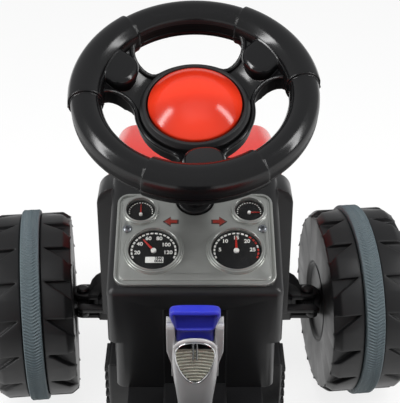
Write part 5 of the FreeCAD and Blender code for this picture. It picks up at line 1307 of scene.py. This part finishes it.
@dataclass
class RoadWheel:
    """One wheel: two moulded halves, the knurled band between them and the red cap."""

    axle: Axle
    side: Side
    body: str
    at: Triple
    steer: float
    band: float
    band_width: float
    ribs: int = 190
    rib_depth: float = 1.9
    rib_slant: float = 1.5
    rib_steps: int = 12
    facets: int = 4
    band_wall: float = 8.0
    web_depth: Pair = (31.0, 40.0)
    web_reach: Pair = (16.9, 51.5)
    web_rise: float = 9.5

    @property
    def tail(self) -> str:
        """Returns the ending of the wheel's node names."""
        return "%s_wheel_%s" % (self.axle.value, self.side.name.lower())

    def frame(self) -> Matrix:
        """Returns the wheel's place and turn."""
        return moved(*self.at) @ turned(self.steer)

    def raise_web(self, tyre: Piece) -> None:
        """Moves the web of an inner half out, near its face, round the hub.

        Args:
            tyre: The inner half.
        """
        away = self.frame().inverted()
        for point in tyre.data.vertices:
            spot = away @ point.co
            inward = -self.side.value * spot.x
            reach = math.hypot(spot.y, spot.z)
            if (self.web_depth[0] * MM < inward < self.web_depth[1] * MM
                    and self.web_reach[0] * MM < reach < self.web_reach[1] * MM):
                spot.x -= self.side.value * self.web_rise * MM
                point.co = self.frame() @ spot

    def section(self) -> list[tuple[float, float, bool]]:
        """Returns the band's section: places across it, drops from its outside and whether ribs stand there."""
        half = self.band_width / 2
        edge = [(half - 0.9, 0.5, False), (half, 1.2, False), (half, self.band_wall, False)]
        ribbed = [(-half + 1.8 + (self.band_width - 3.6) * step / self.rib_steps, 0.0, True)
                  for step in range(self.rib_steps + 1)]
        other = [(-place, drop, False) for place, drop, _ in edge[::-1]]
        return [*other, *ribbed, *edge, other[0]]

    def band_point(self, column: int, row: int) -> Vector:
        """Returns a point of the band, whose outside carries slanted ribs in two mirrored rows."""
        place, drop, ribbed = self.section()[row]
        phase = column / self.facets + self.rib_slant * abs(place) / (self.band_width / 2)
        wave = 0.5 + 0.5 * math.cos(FULL_TURN * phase)
        radius = self.band / 2 - drop - (self.rib_depth * (1 - wave) if ribbed else 0.4)
        angle = FULL_TURN * column / (self.ribs * self.facets)
        return Vector((place, radius * math.cos(angle), radius * math.sin(angle)))

    def build(self) -> None:
        """Models the band, rounds the halves and dresses the wheel."""
        for half in ("outer", "inner"):
            node = "%s_%s" % (self.tail, half)
            tyre = eased("tyre_%s_%s" % (self.tail, half), node, 1.5, 3)
            if self.axle is Axle.FRONT and half == "inner":
                self.raise_web(tyre)
            stand_in(tyre, TYRE_BLACK, "wheel_black", self.body, node)
        band = woven_grid("band_" + self.tail, self.ribs * self.facets, len(self.section()) - 1, self.band_point)
        band.data.transform(self.frame())
        stand_in(smooth(band, 60.0), RUBBER_GREY, "band_grey", self.body, self.tail + "_band")
        cap = "%s_hub_cap_%s" % (self.axle.value, self.side.name.lower())
        stand_in(eased("cap_" + self.tail, cap, 0.9, 3), GLOSS_RED, "cap_red", self.body, cap)


@dataclass
class RunningGear:
    """Axles, knuckles, crank, chain and pedals."""

    axle_height: float = 122.5
    web_size: Triple = (10.0, 17.0, 24.0)
    web_at: Pair = (128.0, 315.0)
    wall_size: Triple = (20.0, 2.2, 24.0)
    wall_at: Pair = (133.0, 322.9)
    gusset: tuple[Pair, ...] = (
        (106.0, 139.0), (106.0, 163.0), (120.0, 160.5), (128.0, 155.5), (134.0, 148.0), (136.4, 141.5),
        (136.4, 139.0))
    gusset_back: float = 297.5
    gusset_width: float = 25.0

    def beam(self) -> Piece:
        """Returns the front beam with a web and a wall between the ears of each arm and a gusset above them."""
        webs = []
        outside, tall = self.web_at[0] + self.web_size[0] / 2 - 1.0, self.web_size[2] - 4.0
        for side in Side:
            gusset = [Vector((side.value * x, self.gusset_back, z)) for x, z in self.gusset]
            web, wall = (block(name, size, (side.value * x, y, self.axle_height)) for name, size, (x, y) in (
                ("arm_web", self.web_size, self.web_at), ("arm_wall", self.wall_size, self.wall_at)))
            with editing(web, Pick.EDGES):
                round_picked(web, lambda edge: (abs(middle_of(edge).x) > outside * MM
                                                and edge.calc_length() > tall * MM), 3.0, 4)
            webs += [wall, prism("arm_gusset", gusset, Vector((0.0, self.gusset_width, 0.0))), web]
        return smooth(joined("axle_beam", [eased("axle_beam", "front_axle_beam", 1.2, 2), *webs]))

    def build(self) -> None:
        """Rounds and dresses the pieces below the body."""
        stand_in(self.beam(), SATIN_BLACK, "body_black", "chassis", "front_axle_beam")
        rows = [("track_rod", "tie_rod", 0.8, SATIN_BLACK, "axle_black", "tie_rod")]
        for side in ("left", "right"):
            rows += [
                ("knuckle_arm_" + side, "knuckle_" + side, 0.9, SATIN_BLACK, "axle_black", "knuckle_" + side),
                ("crank_" + side, "crank_arm_" + side, 1.0, ZINC, "crank_steel", "crank"),
                ("pedal_block_" + side, "pedal_" + side, 1.2, SATIN_BLACK, "pedal_black", "pedal_" + side),
            ]
        for name, node, width, finish, slot, body in rows:
            stand_in(eased(name, node, width, 2), finish, slot, body, node)
        kept = {
            "column_bushes": SATIN_BLACK, "drive_bushes": NYLON_GREY, "rear_spacers": NYLON_GREY,
            "pivot_pins": SATIN_BLACK, "rear_axle": ZINC, "crank_axle": ZINC,
            "rear_sprocket": CHAIN_STEEL, "chainring": CHAIN_STEEL, "chain": CHAIN_STEEL,
        }
        for node, finish in kept.items():
            finish.on(bpy.data.objects[node])
            LOG.info("%s keeps its CAD form", node)


# --------------------------------------------------------------------------- studio


@dataclass
class Studio:
    """Pale floor, soft lamps and the camera at the photograph's angle."""

    eye: Triple = (0.0, -0.798, 0.912)
    pitch: float = 60.0
    lens: float = 92.9
    shift: float = 5.0 / 403.0
    sensor: float = 36.0
    paper: str = "#f2f2f1"
    sky: str = "#f4f5f6"
    floor_size: float = 12.0
    floor_drop: float = 0.0005
    floor_share: float = 0.82
    world_level: float = 0.45
    aim: Triple = (0.0, 0.1, 0.3)

    def floor(self) -> None:
        """Adds the floor, with the object's shadow on near white."""
        deselect()
        bpy.ops.mesh.primitive_plane_add(size=self.floor_size, location=(0, 0, -self.floor_drop))
        floor = newest("studio_floor")
        paper = bpy.data.materials.new("studio_paper")
        paper.use_nodes = True
        tree = paper.node_tree
        shader = tree.nodes["Principled BSDF"]
        shader.inputs["Base Color"].default_value = linear(self.paper)
        shader.inputs["Roughness"].default_value = 0.9
        rays = add_node(tree, "ShaderNodeLightPath")
        seen = worked(tree, "MAXIMUM", rays.outputs["Is Camera Ray"], rays.outputs["Is Glossy Ray"])
        seen = worked(tree, "MAXIMUM", seen, rays.outputs["Is Transmission Ray"])
        share = ranged(tree, seen, (0.0, 1.0), (0.0, self.floor_share))
        glow = add_node(tree, "ShaderNodeEmission", {"Color": linear("#ffffff"), "Strength": 1.0})
        mixed = add_node(tree, "ShaderNodeMixShader", {},
                         {0: share, 1: shader.outputs["BSDF"], 2: glow.outputs["Emission"]})
        tree.links.new(mixed.outputs["Shader"], tree.nodes["Material Output"].inputs["Surface"])
        floor.data.materials.append(paper)

    def lamp(self, name: str, power: float, size: Pair, at: Triple, mirrored: bool = True) -> None:
        """Adds one soft box.

        Args:
            name: The lamp's name.
            power: Its power in watts.
            size: Its width and height in metres.
            at: Where it stands.
            mirrored: Whether glossy surfaces show it.
        """
        deselect()
        bpy.ops.object.light_add(type="AREA", location=at)
        lamp = bpy.context.active_object
        lamp.name = name
        lamp.data.shape = "RECTANGLE"
        lamp.data.energy = power
        lamp.data.size, lamp.data.size_y = size
        lamp.rotation_euler = (Vector(self.aim) - Vector(at)).to_track_quat("-Z", "Y").to_euler()
        lamp.visible_glossy = mirrored

    def build(self) -> None:
        """Sets the floor, the lamps, the world, the camera and the view transform."""
        scene = bpy.context.scene
        self.floor()
        self.lamp("top_box", 56.0, (1.8, 1.3), (0.1, -0.75, 2.3), False)
        self.lamp("left_box", 20.0, (0.3, 1.6), (-1.6, -0.4, 1.3))
        self.lamp("right_box", 14.0, (0.3, 1.6), (1.6, -0.2, 1.4))
        world = bpy.data.worlds.new("studio")
        world.use_nodes = True
        tree = world.node_tree
        sky = tree.nodes["Background"]
        sky.inputs["Color"].default_value = linear(self.sky)
        seen = add_node(tree, "ShaderNodeLightPath").outputs["Is Camera Ray"]
        tree.links.new(ranged(tree, seen, (0.0, 1.0), (self.world_level, 1.0)), sky.inputs["Strength"])
        scene.world = world
        scene.view_settings.view_transform = "Standard"
        deselect()
        bpy.ops.object.camera_add(location=self.eye, rotation=(math.radians(self.pitch), 0.0, 0.0))
        camera = bpy.context.active_object
        camera.name = "photo_camera"
        camera.data.lens = self.lens
        camera.data.sensor_width = self.sensor
        camera.data.shift_x = self.shift
        scene.camera = camera


def road_wheels() -> list[RoadWheel]:
    """Returns the four wheels in the places that the frame gives them."""
    front = {"steer": 6.0, "band": 245.0, "band_width": 22.6}
    rear = {"steer": 0.0, "band": 320.0, "band_width": 29.0}
    return [
        RoadWheel(Axle.FRONT, Side.LEFT, "front_wheel_left", at=(-204.671, 303.728, 122.5), **front),
        RoadWheel(Axle.FRONT, Side.RIGHT, "front_wheel_right", at=(204.671, 316.272, 122.5), **front),
        RoadWheel(Axle.REAR, Side.LEFT, "rear_wheel_left", at=(-215.0, -290.0, 160.0), **rear),
        RoadWheel(Axle.REAR, Side.RIGHT, "rear_drive", at=(215.0, -290.0, 160.0), **rear),
    ]


def main() -> None:
    """Loads the frame and builds each sub-assembly in order."""
    logging.basicConfig(level=logging.INFO, format="%(name)s: %(message)s")
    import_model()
    for assembly in (SteeringWheel(), Dash(), BodyShell(), GearLever(), *road_wheels(), RunningGear(), Studio()):
        assembly.build()
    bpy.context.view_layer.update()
    deselect()


if __name__ == "__main__":
    main()
